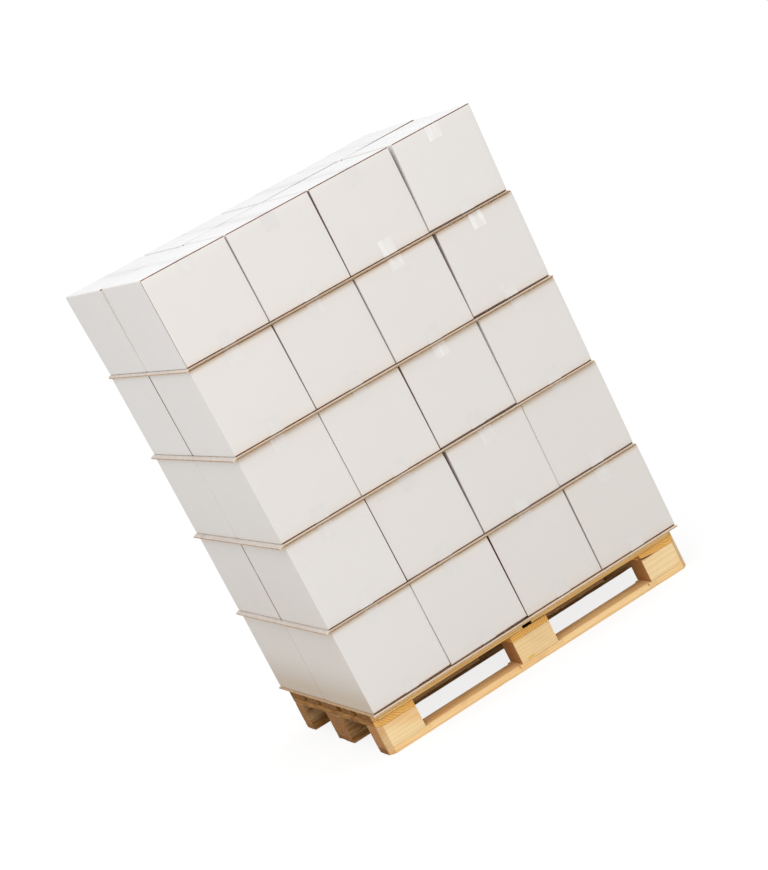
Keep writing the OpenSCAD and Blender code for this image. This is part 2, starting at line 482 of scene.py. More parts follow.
@dataclass(frozen=True)
class RawEdge(Finish):
    """Cut edge of corrugated board: brown liners, with dark patches painted as the shade in the open flutes
    between them.
    """

    rough: ClassVar[float] = 0.8
    rougher: ClassVar[float] = 0.15
    relief: ClassVar[float] = 0.0002
    name: str = "raw_board_edge"
    brown: Colour = tone(166, 98, 46)
    # Painted shade of the open flutes.
    flute_shadow: Colour = tone(98, 52, 20)

    def make(self, effects: Effects) -> bpy.types.Material:
        """Builds the material.

        Args:
            effects: Shared node groups.

        Returns:
            The finished material.
        """
        material, graph, shader = self.start()
        place = graph.coordinates()
        paper = effects.paper.place(graph, {"Place": place})
        torn = graph.noise(graph.stretch(place, (24.0, 24.0, 500.0)), 1.0, 2.0)
        # Dark patches are painted shade in the flutes.
        colour = graph.mix(graph.band(torn, 0.35, 0.7), self.flute_shadow, self.brown)
        self.paint(graph, shader, colour, paper["Cloud"], torn)
        return material


@dataclass(frozen=True)
class SheetBoard(Finish):
    """Paper of the slip sheets: a liner, or the waved paper between the liners."""

    rough: ClassVar[float] = 0.72
    rougher: ClassVar[float] = 0.2
    relief_strength: ClassVar[float] = 0.6
    name: str
    pale: Colour
    deep: Colour
    stain: Colour
    cut: Colour
    # Painted warm bounced light: tint of each sheet's front lip.
    painted_lip_light: Colour = tone(236, 216, 190)
    # Painted shade: dark brown for the part of each sheet that the cartons always cover.
    hidden: Colour = tone(120, 84, 54)
    lip: float = 0.018

    @staticmethod
    def covered(margin: float = 0.012, outer: float = 0.3) -> tuple[Vector, Vector]:
        """Finds the part of the sheets that the cartons over them always cover.

        Args:
            margin: How far inside the cartons' outer walls it ends.
            outer: Distance from the middle beyond which a wall is an outer one.

        Returns:
            The lowest and highest corner of a box round that part.
        """
        feet = [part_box(name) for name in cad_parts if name.startswith("carton_")]
        low = [max(box[0][axis] for box in feet if box[0][axis] < -outer) + margin for axis in (0, 1)]
        high = [min(box[1][axis] for box in feet if box[1][axis] > outer) - margin for axis in (0, 1)]
        return Vector((*low, 0.0)), Vector((*high, 2 * CAD_BOX[1][2]))

    def make(self, effects: Effects) -> bpy.types.Material:
        """Builds the material.

        Args:
            effects: Shared node groups.

        Returns:
            The finished material.
        """
        material, graph, shader = self.start()
        place = graph.coordinates()
        paper = effects.paper.place(graph, {"Place": place, "Across Flutes": graph.part(place, "X")})
        streak = graph.noise(graph.stretch(place, (60.0, 30.0, 60.0)), 1.0)
        colour = graph.mix(graph.band(streak, 0.3, 0.7), self.pale, self.deep)
        colour = graph.mix(graph.band(paper["Cloud"], 0.62, 0.8), colour, self.stain)
        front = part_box("slip_sheet_1")[0].y
        inside = graph.band(graph.part(place, "Y"), front + self.lip / 2, front + self.lip)
        # Painted warm bounced light on the front lip of each sheet.
        colour = graph.mix(graph.less(1.0, inside), colour, self.painted_lip_light)
        # Painted shade where the cartons always cover the sheet, seen down the seams.
        colour = graph.mix(graph.within(place, *self.covered()), colour, self.hidden)
        facing = graph.math("ABSOLUTE", graph.part(graph.coordinates("Normal"), "Y"))
        colour = graph.mix(graph.band(facing, 0.5, 0.8), colour, self.cut)
        self.paint(graph, shader, colour, paper["Speck"], paper["Height"])
        return material


@dataclass(frozen=True)
class ClearTape(Finish):
    """Clear packing tape pressed flat on white board: a glossy film, milky where it has creased. The strong
    white on the listed tabs is partly painted glint, and the line over the slit is painted shade.

    The film takes the colour of the liner under it, so it needs no half transparent places, and it is
    left out over the folds, where the flaps' brown ends show through.
    """

    gloss: ClassVar[float] = 0.5
    rough: ClassVar[float] = 0.3
    rougher: ClassVar[float] = 0.25
    relief_strength: ClassVar[float] = 0.12
    name: str = "clear_packing_tape"
    board: WhiteBoard = WhiteBoard()
    # White of creased film, and partly painted glint on the listed tabs.
    milk_and_glint: Colour = tone(249, 249, 248)
    haze: Colour = tone(214, 213, 213)
    # Painted shade of the slit between the flaps, drawn on the film over it.
    slit: Colour = tone(138, 128, 118)
    slit_width: float = 0.0018
    slit_shade: float = 0.7
    slit_blur: tuple[float, float] = (0.3, 0.7)
    fold: float = 0.0038
    fold_blur: float = 0.05
    tab_haze: float = 0.38
    run_haze: float = 0.22
    run_hold: float = 0.95
    milk_least: float = 0.35
    milk_creases: float = 0.65

    def make(self, effects: Effects) -> bpy.types.Material:
        """Builds the material.

        Args:
            effects: Shared node groups.

        Returns:
            The finished material.
        """
        material, graph, shader = self.start()
        place = graph.coordinates()
        paper = effects.paper.place(graph, {"Place": place})
        folds = graph.noise(graph.stretch(place, (85.0, 85.0, 14.0)), 1.0, 2.0, 0.45)
        patches = graph.band(graph.noise(place, 22.0, 1.0), 0.28, 0.54)
        creases = graph.times(graph.band(folds, 0.4, 0.66), patches)
        lifted = graph.attribute("milk_and_glint_share")
        run = graph.attribute("run")
        milk_and_glint_share = graph.plus(self.milk_least, graph.times(creases, self.milk_creases))
        hazy = graph.plus(self.tab_haze, graph.times(run, self.run_haze))
        hazy = graph.times(hazy, graph.less(1.0, lifted))
        colour = graph.mix(hazy, self.board.liner(graph, paper["Cloud"]), self.haze)
        # Milky white where the film has lifted, partly painted glint.
        colour = graph.mix(graph.times(lifted, milk_and_glint_share), colour, self.milk_and_glint)
        # Painted shade: a dark line on the run over the slit between the flaps.
        away = graph.math("ABSOLUTE", graph.attribute("off_slit"))
        beside = graph.band(away, *(share * self.slit_width for share in self.slit_blur))
        over_slit = graph.times(run, graph.less(1.0, beside))
        colour = graph.mix(graph.times(over_slit, self.slit_shade), colour, self.slit)
        edge = (1 - self.fold_blur) * self.fold, (1 + self.fold_blur) * self.fold
        graph.link(graph.band(graph.attribute("off_fold"), *edge), shader, "Alpha")
        loose = graph.less(1.0, graph.times(run, self.run_hold))
        self.paint(graph, shader, colour, graph.times(creases, loose), graph.times(folds, loose))
        return material


@dataclass(frozen=True)
class Softwood(Finish):
    """Sawn pale softwood with growth rings, knots and darker end grain; darker on the pallet's end faces,
    with painted shade on faces inside the pallet and painted shadow in the notch.
    """

    rough: ClassVar[float] = 0.62
    rougher: ClassVar[float] = 0.25
    relief: ClassVar[float] = 0.00035
    relief_strength: ClassVar[float] = 0.7
    name: str
    early: Colour
    late: Colour
    end: Colour
    knot: Colour = tone(122, 78, 42)
    grime: Colour = tone(128, 104, 78)
    # Dark brown mixed in on the pallet's end faces and, as painted shade, on faces inside the pallet.
    stain: Colour = tone(120, 73, 15)
    blush: Colour = tone(236, 172, 96)
    # Darkens the rings of the darker end faces, and paints the shadow inside the notch.
    deep: Colour = tone(52, 33, 18)
    ring_spacing: float = 0.008
    ring_share: float = 0.7
    dirt: float = 0.25
    darkening_strength: float = 0.95
    end_share: float = 0.85
    end_rings: float = 0.48
    darkened_end_rings: float = 0.4
    fibre_share: float = 0.5
    blush_share: float = 0.45
    cast_share: float = 0.3
    streak_share: float = 0.3
    # Box of the notch, painted dark as its shadow.
    shadowed_hollow: tuple[Vector, Vector] | None = None

    def make(self, effects: Effects) -> bpy.types.Material:
        """Builds the material.

        Args:
            effects: Shared node groups.

        Returns:
            The finished material.
        """
        material, graph, shader = self.start()
        place = graph.coordinates()
        grain = graph.attribute("grain", "Vector")
        figure = effects.wood.place(graph, {"Grain": grain, "Ring Spacing": self.ring_spacing})
        ends = graph.attribute("end_grain")
        fibre = graph.times(graph.less(figure["Fibre"], 0.5), self.fibre_share)
        rings = graph.times(figure["Ring"], self.ring_share)
        colour = graph.mix(graph.plus(rings, fibre, clamp=True), self.early, self.late)
        flush = graph.band(graph.noise(graph.stretch(grain, (4.0, 24.0, 24.0)), 1.0, 2.0), 0.5, 0.75)
        colour = graph.mix(graph.times(flush, self.blush_share), colour, self.blush)
        colour = graph.mix(graph.times(graph.attribute("cast"), self.cast_share), colour, self.late)
        ring = graph.times(figure["Ring"], self.end_rings)
        end_colour = graph.mix(ring, self.end, self.late, "MULTIPLY")
        colour = graph.mix(graph.times(ends, self.end_share), colour, end_colour)
        streaks = graph.band(graph.noise(graph.stretch(grain, (14.0, 60.0, 60.0)), 1.0), 0.3, 0.7)
        hold = graph.plus(1.0 - self.streak_share, graph.times(streaks, self.streak_share))
        # Darker end faces, and painted shade on faces inside the pallet, broken by streaks along the grain.
        darkening_and_shade = graph.times(graph.attribute("darkening_and_shade"), graph.times(hold, self.darkening_strength))
        colour = graph.mix(darkening_and_shade, colour, self.stain)
        darkened_ends = graph.times(graph.times(figure["Ring"], ends), darkening_and_shade)
        colour = graph.mix(graph.times(darkened_ends, self.darkened_end_rings), colour, self.deep)
        colour = graph.mix(figure["Knot"], colour, self.knot)
        scuff = effects.scuff.place(graph, {"Place": place, "Amount": 1.0})
        smears = graph.band(graph.noise(place, 9.0, 5.0, 0.6), 0.52, 0.78)
        soil = graph.times(graph.plus(smears, scuff["Mask"]), self.dirt, clamp=True)
        colour = graph.mix(soil, colour, self.grime)
        # Painted shadow inside the notch.
        if self.shadowed_hollow:
            colour = graph.mix(graph.within(place, *self.shadowed_hollow), colour, self.deep)
        saw_marks = graph.noise(graph.stretch(grain, (180.0, 60.0, 60.0)), 1.0)
        height = graph.plus(graph.plus(figure["Fibre"], figure["Ring"]), saw_marks)
        self.paint(graph, shader, colour, figure["Fibre"], height)
        return material


@dataclass(frozen=True)
class Wire(Finish):
    """Bare drawn wire of nails and the staple, dull with a little rust."""

    gloss: ClassVar[float] = 0.5
    rough: ClassVar[float] = 0.35
    rougher: ClassVar[float] = 0.4
    name: str
    bright: Colour
    rust: Colour = tone(120, 72, 40)
    metal: float = 0.9
    dulled: float = 0.7

    def make(self) -> bpy.types.Material:
        """Builds the material.

        Returns:
            The finished material.
        """
        material, graph, shader = self.start()
        spots = graph.band(graph.noise(graph.coordinates(), 330.0, 4.0), 0.5, 0.66)
        graph.link(graph.less(self.metal, graph.times(spots, self.dulled)), shader, "Metallic")
        self.paint(graph, shader, graph.mix(spots, self.bright, self.rust), spots, spots)
        return material


@dataclass(frozen=True)
class PaleFloor(Finish):
    """Plain pale studio floor, which the camera sees as white with a light shadow."""

    gloss: ClassVar[float] = 0.0
    rough: ClassVar[float] = 0.9
    name: str = "pale_floor"
    pale: Colour = (0.71, 0.7, 0.69, 1.0)
    worn: Colour = (0.68, 0.67, 0.66, 1.0)
    seen: Colour = (0.9, 0.89, 0.88, 1.0)
    glow: float = 0.78
    strength: float = 1.06

    def make(self) -> bpy.types.Material:
        """Builds the material.

        Returns:
            The finished material.
        """
        material, graph, shader = self.start()
        seen = graph.seen()
        colour = graph.mix(graph.noise(graph.coordinates(), 0.6), self.pale, self.worn)
        graph.link(graph.mix(seen, colour, self.seen), shader, "Base Color")
        shader.inputs["Roughness"].default_value = self.rough
        glow = graph.add("ShaderNodeEmission", {"Color": WHITE, "Strength": self.strength})
        share = graph.times(seen, self.glow)
        mixed = graph.add("ShaderNodeMixShader", {0: share, 1: shader.outputs[0], 2: glow.outputs[0]})
        graph.link(mixed.outputs[0], material.node_tree.get_output_node("ALL"), "Surface")
        return material


def new_piece(name: str, mesh: bpy.types.Mesh, nodes: Iterable[str] = ()) -> bpy.types.Object:
    """Puts a finished mesh in the scene as a piece of the object.

    Args:
        name: Name of the piece.
        mesh: Finished mesh, with its place in its vertices.
        nodes: Names of the solids that the piece stands for.

    Returns:
        The new object.
    """
    piece = bpy.data.objects.new(name, mesh)
    bpy.context.scene.collection.objects.link(piece)
    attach(piece, BODY)
    nodes = tuple(nodes)
    if nodes:
        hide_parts(*nodes)
    stands_for = ", ".join(nodes) or "nothing packed"
    LOG.info("%s: %d faces, stands for %s", name, len(mesh.polygons), stands_for)
    return piece


def set_values(mesh: bpy.types.Mesh, name: str, values: np.ndarray,
               domain: Domain = Domain.POINT) -> None:
    """Stores one value or vector for each point or face of a mesh.

    Args:
        mesh: Mesh that keeps the attribute.
        name: Name of the attribute.
        values: One value, or one row of three, for each element.
        domain: Whether the points or the faces keep the values.
    """
    vector = values.ndim == 2
    layer = mesh.attributes.new(name, "FLOAT_VECTOR" if vector else "FLOAT", domain.value)
    flat = np.ascontiguousarray(values, np.float32).ravel()
    layer.data.foreach_set("vector" if vector else "value", flat)


def points_of(mesh: bpy.types.Mesh) -> np.ndarray:
    """Reads the vertices of a mesh.

    Args:
        mesh: Mesh to read.

    Returns:
        Rows of x, y and z.
    """
    rows = np.zeros(len(mesh.vertices) * 3, np.float32)
    mesh.vertices.foreach_get("co", rows)
    return rows.reshape(-1, 3).astype(float)


def face_rows(mesh: bpy.types.Mesh) -> tuple[np.ndarray, np.ndarray]:
    """Reads where the faces of a mesh are and how they face.

    Args:
        mesh: Mesh to read.

    Returns:
        The middles and the normals of the faces, each as rows of x, y and z.
    """
    rows = {name: np.zeros(len(mesh.polygons) * 3, np.float32) for name in ("center", "normal")}
    for name, values in rows.items():
        mesh.polygons.foreach_get(name, values)
    return rows["center"].reshape(-1, 3), rows["normal"].reshape(-1, 3)


def smooth(mesh: bpy.types.Mesh, angle: float) -> None:
    """Shades a mesh smooth, apart from its sharp edges.

    Args:
        mesh: Mesh to shade.
        angle: Angle in degrees from which an edge stays sharp.
    """
    mesh.polygons.foreach_set("use_smooth", [True] * len(mesh.polygons))
    mesh.set_sharp_from_angle(angle=math.radians(angle))
    mesh.update()


class Spot(NamedTuple):
    """Place of a carton in the stack: its layer and column, from 1, and its row."""

    layer: int
    column: int
    row: Row

    @property
    def node(self) -> str:
        """Names the carton's solid."""
        return f"carton_layer_{self.layer}_column_{self.column}_{self.row.value}"


class RingLevel(NamedTuple):
    """One level of a carton: its height, how far the panels stand in there, and its corner radius.

    The faces above a cut level are the cut ends of the flaps.
    """

    height: float
    side: float
    end: float
    corner: float
    cut: bool


@dataclass
class CartonForm:
    """Sizes that all the cartons share."""

    thickness: float = 0.0034
    fold: float = 0.004
    crease: float = 0.0024
    corner: float = 0.0016
    setback: float = 0.001
    liner: float = 0.0006
    recess: float = 0.0026
    top_recess: float = 0.0006
    slit: float = 0.002
    slit_depth: float = 0.0034
    room: float = 0.0004
    step: float = 0.00005
    half_columns: int = 8
    side_columns: int = 20
    levels: int = 12
    corner_steps: int = 3
    inner_columns: int = 2
    fold_rings: int = 7
    crease_steps: int = 3
    slit_points: int = 8

    def ring_levels(self, height: float) -> list[RingLevel]:
        """Lists the levels of a carton from its foot to its top.

        Args:
            height: Height of the closed carton.

        Returns:
            The levels, the lowest first.
        """
        def fold_inset(level: float) -> float:
            """Inset of the rounded fold at a height above the foot."""
            drop = max(self.fold - level, 0.0)
            return self.fold - math.sqrt(self.fold ** 2 - drop ** 2)

        core = self.thickness - self.liner
        sunk = self.setback + self.recess
        low = [RingLevel(level, fold_inset(level), inset, self.liner, level > 0) for level, inset in (
            (0.0, self.setback), (self.liner, self.setback), (self.liner + self.step, sunk),
            (self.thickness / 2, sunk), (core, sunk), (core + self.step, self.setback),
            (self.thickness, self.setback))]
        for i in range(self.crease_steps + 1):
            turn = math.radians(90 * i / self.crease_steps)
            level = self.thickness + self.step + self.crease * (1 - math.cos(turn))
            inset = self.crease * (1 - math.sin(turn))
            low.append(RingLevel(level, fold_inset(level), inset, self.corner, False))
        start = low[-1].height
        middle = [RingLevel(start + (height - 2 * start) * i / self.levels, 0.0, 0.0, self.corner, False)
                  for i in range(1, self.levels)]
        high = []
        for i, ring in reversed(list(enumerate(low))):
            inset = self.setback + self.top_recess if ring.end == sunk else ring.end
            high.append(RingLevel(height - ring.height, ring.side, inset, ring.corner,
                                  1 < i < self.fold_rings))
        return low + middle + high


@dataclass
class Carton:
    """One closed carton: rounded folds, flap ends that show as raw board, and slightly bowed panels."""

    node: str
    form: CartonForm
    seed: int
    wear_and_seam_shade: tuple[float, ...]
    inner: tuple[int, ...]
    # Share of the greyer wall colour: mostly painted wall shade, with a little random tone.
    cast: float
    raised: tuple[float, float]
    swelled: tuple[float, float]
    covered: bool
    outer_left: bool
    end_bow: float = 0.0012
    side_bow: float = 0.0005
    crush: float = 0.0016
    foot_rub: float = 0.9
    lift_height: float = 0.08
    lift_depth: float = 0.15
    bow_range: tuple[float, float] = (0.2, 1.4)
    dent_range: tuple[float, float] = (0.1, 1.0)
    dent_reach: float = 0.05
    dent_drop: float = 0.25
    end_zone: tuple[float, float] = (0.96, 0.03)
    side_zone: tuple[float, float] = (0.94, 0.04)
    # Painted floor shade on the outer left walls: a thin share below one height, and a stronger one near
    # the floor.
    thin_floor_shade: float = 0.35
    thin_floor_shade_top: float = 1.1
    thin_floor_shade_fall: float = 0.7
    floor_shade_top: float = 0.34
    floor_shade_fall: float = 0.15
    fold_reach: float = 1.5
    facing_up: float = 0.7
    smooth_angle: float = 50.0
    foot: Vector = field(init=False)
    size: Vector = field(init=False)
    lean: float = field(init=False)
    dents: list[float] = field(init=False)

    def __post_init__(self) -> None:
        """Reads the carton's foot, size and lean from its solid, and draws its own bow and dents."""
        points = points_of(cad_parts[self.node].data)
        low, high = points.min(0), points.max(0)
        near = self.fold_reach * self.form.fold
        base, top = points[points[:, 2] < low[2] + near, 0], points[points[:, 2] > high[2] - near, 0]
        self.lean = float((top.min() + top.max() - base.min() - base.max()) / 2)
        width = float(base.max() - base.min())
        self.foot = Vector(((base.min() + base.max()) / 2, (low[1] + high[1]) / 2, low[2]))
        self.size = Vector((width, high[1] - low[1], high[2] - low[2]))
        rng = random.Random(self.seed)
        self.end_bow *= rng.uniform(*self.bow_range)
        self.dents = [rng.uniform(*self.dent_range) * self.crush for _ in range(8)]

    def ring(self, side_inset: float, end_inset: float, corner: float) -> np.ndarray:
        """Plan of one ring, counter-clockwise from the left of the front panel.

        Args:
            side_inset: Inset of the side panels.
            end_inset: Inset of the end panels.
            corner: Radius of the upright corners.

        Returns:
            Rows of x and y about the middle of the carton.
        """
        form = self.form
        x, y = self.size.x / 2 - side_inset, self.size.y / 2 - end_inset
        half = np.linspace(form.slit / 2, x - corner, form.half_columns + 1)
        front = np.concatenate([-half[::-1], half])
        side = np.linspace(corner - y, y - corner, form.side_columns + 1)
        turns = np.radians(np.linspace(0, 90, form.corner_steps + 1)[1:-1])
        rows: list[tuple[float, float]] = [(value, -y) for value in front]
        rows += [(x - corner + corner * math.sin(a), corner - y - corner * math.cos(a)) for a in turns]
        rows += [(x, value) for value in side]
        rows += [(x - corner + corner * math.cos(a), y - corner + corner * math.sin(a)) for a in turns]
        rows += [(value, y) for value in front[::-1]]
        rows += [(corner - x - corner * math.sin(a), y - corner + corner * math.cos(a)) for a in turns]
        rows += [(-x, value) for value in side[::-1]]
        rows += [(corner - x - corner * math.cos(a), corner - y - corner * math.sin(a)) for a in turns]
        return np.array(rows)

    def bow(self, x: np.ndarray, z: np.ndarray) -> np.ndarray:
        """How far the end panels stand out at places across and up the panel."""
        across, up = 2 * x / self.size.x, 2 * z / self.size.z - 1
        return self.end_bow * np.clip(1 - across ** 2, 0, 1) * np.clip(1 - up ** 2, 0, 1)

    def risen(self, points: np.ndarray) -> np.ndarray:
        """Works out how far the front of the foot stands off its sheet and the top is swelled.

        Args:
            points: Points of the plain closed carton about its foot.

        Returns:
            The rise of each point.
        """
        width, length, height = self.size
        across = np.clip(points[:, 0] / width + 0.5, 0, 1)
        down = np.clip(1 - points[:, 2] / self.lift_height, 0, 1)
        back = np.clip(1 - (points[:, 1] + length / 2) / self.lift_depth, 0, 1)
        foot = (self.raised[0] + (self.raised[1] - self.raised[0]) * across) * down * back
        top = self.swelled[0] + (self.swelled[1] - self.swelled[0]) * across
        return foot + top * np.clip(2 * points[:, 2] / height - 1, 0, 1)

    def shape(self, points: np.ndarray) -> np.ndarray:
        """Bows the panels, crushes the corners a little and leans the carton, then puts it in its place.

        Args:
            points: Points of the plain closed carton about its foot.

        Returns:
            The shaped points in the object's frame.
        """
        x, y, z = points.T.copy()
        width, length, height = self.size
        on_end = np.clip((np.abs(2 * y / length) - self.end_zone[0]) / self.end_zone[1], 0, 1)
        on_side = np.clip((np.abs(2 * x / width) - self.side_zone[0]) / self.side_zone[1], 0, 1)
        up = np.clip(1 - (2 * z / height - 1) ** 2, 0, 1)
        along = np.clip(1 - (2 * y / length) ** 2, 0, 1)
        shifted_y = y + np.sign(y) * on_end * self.bow(x, z)
        shifted_x = x + np.sign(x) * on_side * self.side_bow * up * along
        out = np.stack([shifted_x, shifted_y, z], 1)
        middle = np.array([0, 0, height / 2])
        for i, depth in enumerate(self.dents):
            corner = np.array([(i & 1) * 2 - 1, ((i >> 1) & 1) * 2 - 1, (i >> 2) & 1])
            corner = corner * (width / 2, length / 2, height)
            away = np.linalg.norm(points - corner, axis=1)
            fall = np.clip(1 - away / self.dent_reach, 0, 1) ** 2
            inward = (middle - corner) / np.linalg.norm(middle - corner)
            out += fall[:, None] * depth * inward * (1.0, 1.0, self.dent_drop)
        out[:, 0] += self.lean * np.clip(z / height, 0, 1)
        out[:, 2] += self.risen(points)
        return out + np.array(self.foot)

    def build(self, materials: Sequence[bpy.types.Material]) -> bpy.types.Object:
        """Builds the carton as one closed mesh.

        Args:
            materials: White board, then raw edge.

        Returns:
            The finished piece.
        """
        form = self.form
        height = self.size.z - 2 * form.room
        levels = form.ring_levels(height)
        rings = [self.ring(level.side, level.end, level.corner) for level in levels]
        count = len(rings[0])
        points = np.concatenate([np.column_stack([plan, np.full(count, level.height + form.room)])
                                 for plan, level in zip(rings, levels)])
        ends = 2 * form.half_columns + 2
        turn = form.corner_steps - 1
        back = ends + 2 * turn + form.side_columns + 1
        is_end = np.zeros(count, bool)
        is_end[:ends - 1] = True
        is_end[back:back + ends - 1] = True
        faces: list[tuple[int, ...]] = []
        raw: list[int] = []
        for k, level in enumerate(levels[:-1]):
            for i in range(count):
                j = (i + 1) % count
                faces.append((k * count + i, k * count + j, (k + 1) * count + j, (k + 1) * count + i))
                raw.append(int(level.cut and is_end[i]))
        last = (len(levels) - 1) * count
        points, caps = self.flaps(points, (0, last), (form.half_columns, back + form.half_columns), count)
        for cap, is_raw in caps:
            faces.append(cap)
            raw.append(is_raw)
        mesh = bpy.data.meshes.new(self.node + "_mesh")
        mesh.from_pydata(self.shape(points).tolist(), [], faces)
        for material in materials:
            mesh.materials.append(material)
        mesh.polygons.foreach_set("material_index", raw)
        self.dress(mesh, points, count, ends, turn)
        smooth(mesh, self.smooth_angle)
        return new_piece(self.node + "_folded", mesh, [self.node])

    def flaps(self, points: np.ndarray, rings: tuple[int, int], slits: tuple[int, int],
              count: int) -> tuple[np.ndarray, list[tuple[tuple[int, ...], int]]]:
        """Closes the foot and the top with two flaps each and the slit between them.

        Args:
            points: Points of the rings.
            rings: First point of the lowest and of the highest ring.
            slits: Columns beside the slit, on the front panel and on the back panel.
            count: Points in a ring.

        Returns:
            All the points, and the faces with whether each is raw board.
        """
        extra, caps = [], []
        front, back = slits
        for first, inward in zip(rings, (1, -1)):
            corners = [first + front, first + front + 1, first + back, first + back + 1]
            floor = []
            for corner in corners:
                floor.append(len(points) + len(extra))
                extra.append(points[corner] + (0, 0, inward * self.form.slit_depth))
            a, b, c, d = corners
            right = tuple(range(b, c + 1))
            left = tuple(range(d, first + count)) + tuple(range(first, a + 1))
            walls = [(right, 0), (left, 0), ((b, floor[1], floor[2], c)[::-1], 1),
                     ((d, floor[3], floor[0], a)[::-1], 1), (tuple(floor), 1),
                     ((a, floor[0], floor[1], b)[::-1], 1), ((c, floor[2], floor[3], d)[::-1], 1)]
            caps += [(face[::-1] if inward > 0 else face, is_raw) for face, is_raw in walls]
        return np.concatenate([points, np.array(extra)]), caps

    def floor_shade(self, points: np.ndarray) -> np.ndarray:
        """Works out the painted floor shade on an outer left wall: thin low in the stack, and more at its
        foot.

        Args:
            points: Points of the plain closed carton about its foot.

        Returns:
            The painted shade at each point, 0 to 1.
        """
        level = self.foot.z + points[:, 2]
        thin = np.clip((self.thin_floor_shade_top - level) / self.thin_floor_shade_fall, 0, 1)
        thick = np.clip((self.floor_shade_top - level) / self.floor_shade_fall, 0, 1) ** 2
        return self.thin_floor_shade * thin + (1 - self.thin_floor_shade) * thick

    def dress(self, mesh: bpy.types.Mesh, points: np.ndarray, count: int, ends: int, turn: int) -> None:
        """Stores what the finish needs: rubbed creases and painted seam shade, the cast of white with its
        painted wall shade, painted floor shade, the painted shadow under a sheet and the run of the flutes.

        Args:
            mesh: Mesh of the carton.
            points: Points of the plain closed carton.
            count: Points in a ring.
            ends: Points across an end panel.
            turn: Points on the way round a corner.
        """
        wear_and_seam_shade = np.zeros(len(points))
        wear_and_seam_shade[:count] = self.foot_rub
        side = self.form.side_columns
        starts = (ends - 1, ends + turn + side, 2 * ends + 2 * turn + side,
                  2 * ends + 3 * turn + 2 * side + 1)
        ring_points = len(points) - self.form.slit_points
        below_fold = ring_points - count * self.form.fold_rings
        for strength, first, inner in zip(self.wear_and_seam_shade, starts, self.inner):
            for i in range(first + 1, first + turn + 1):
                wear_and_seam_shade[i % count:ring_points - count:count] = strength
            # Walls hidden against a neighbour get the brown as painted seam shade, a few columns in from
            # the corner.
            near = first if inner < 0 else first + turn + 1
            for i in range(self.form.inner_columns * abs(inner)):
                wear_and_seam_shade[(near + inner * i) % count:below_fold:count] = strength
        set_values(mesh, "wear_and_seam_shade", wear_and_seam_shade)
        cast = np.full(len(points), self.cast)
        # The top ring and the slit floors take none of the cast, so only the walls get the painted shade.
        cast[ring_points - count:] = 0.0
        set_values(mesh, "cast", cast)
        floor_shade = self.floor_shade(points)
        # Painted floor shade, only on the outer left walls of the first column.
        floor_shade_share = np.zeros(len(points))
        if self.outer_left:
            for i in range(starts[2] + 1, starts[3] + turn + 1):
                floor_shade_share[i:ring_points:count] = floor_shade[i:ring_points:count]
        set_values(mesh, "floor_shade_share", floor_shade_share)
        # Depth below the top on the end panels of covered cartons, for the painted warm shadow under the
        # sheet.
        on_end = np.abs(points[:, 1]) > self.size.y / 2 - self.form.fold
        below = np.where(on_end & self.covered, self.size.z - points[:, 2], self.size.z)
        set_values(mesh, "below_sheet", below)
        layer = mesh.uv_layers.new(name="panel")
        flat = np.zeros((len(mesh.loops), 2))
        for polygon in mesh.polygons:
            normal = polygon.normal
            for loop in polygon.loop_indices:
                x, y, z = points[mesh.loops[loop].vertex_index]
                if abs(normal.z) > self.facing_up:
                    flat[loop] = y, x
                else:
                    flat[loop] = (x, z) if abs(normal.y) > abs(normal.x) else (y, z)
        layer.data.foreach_set("uv", flat.astype(np.float32).ravel())


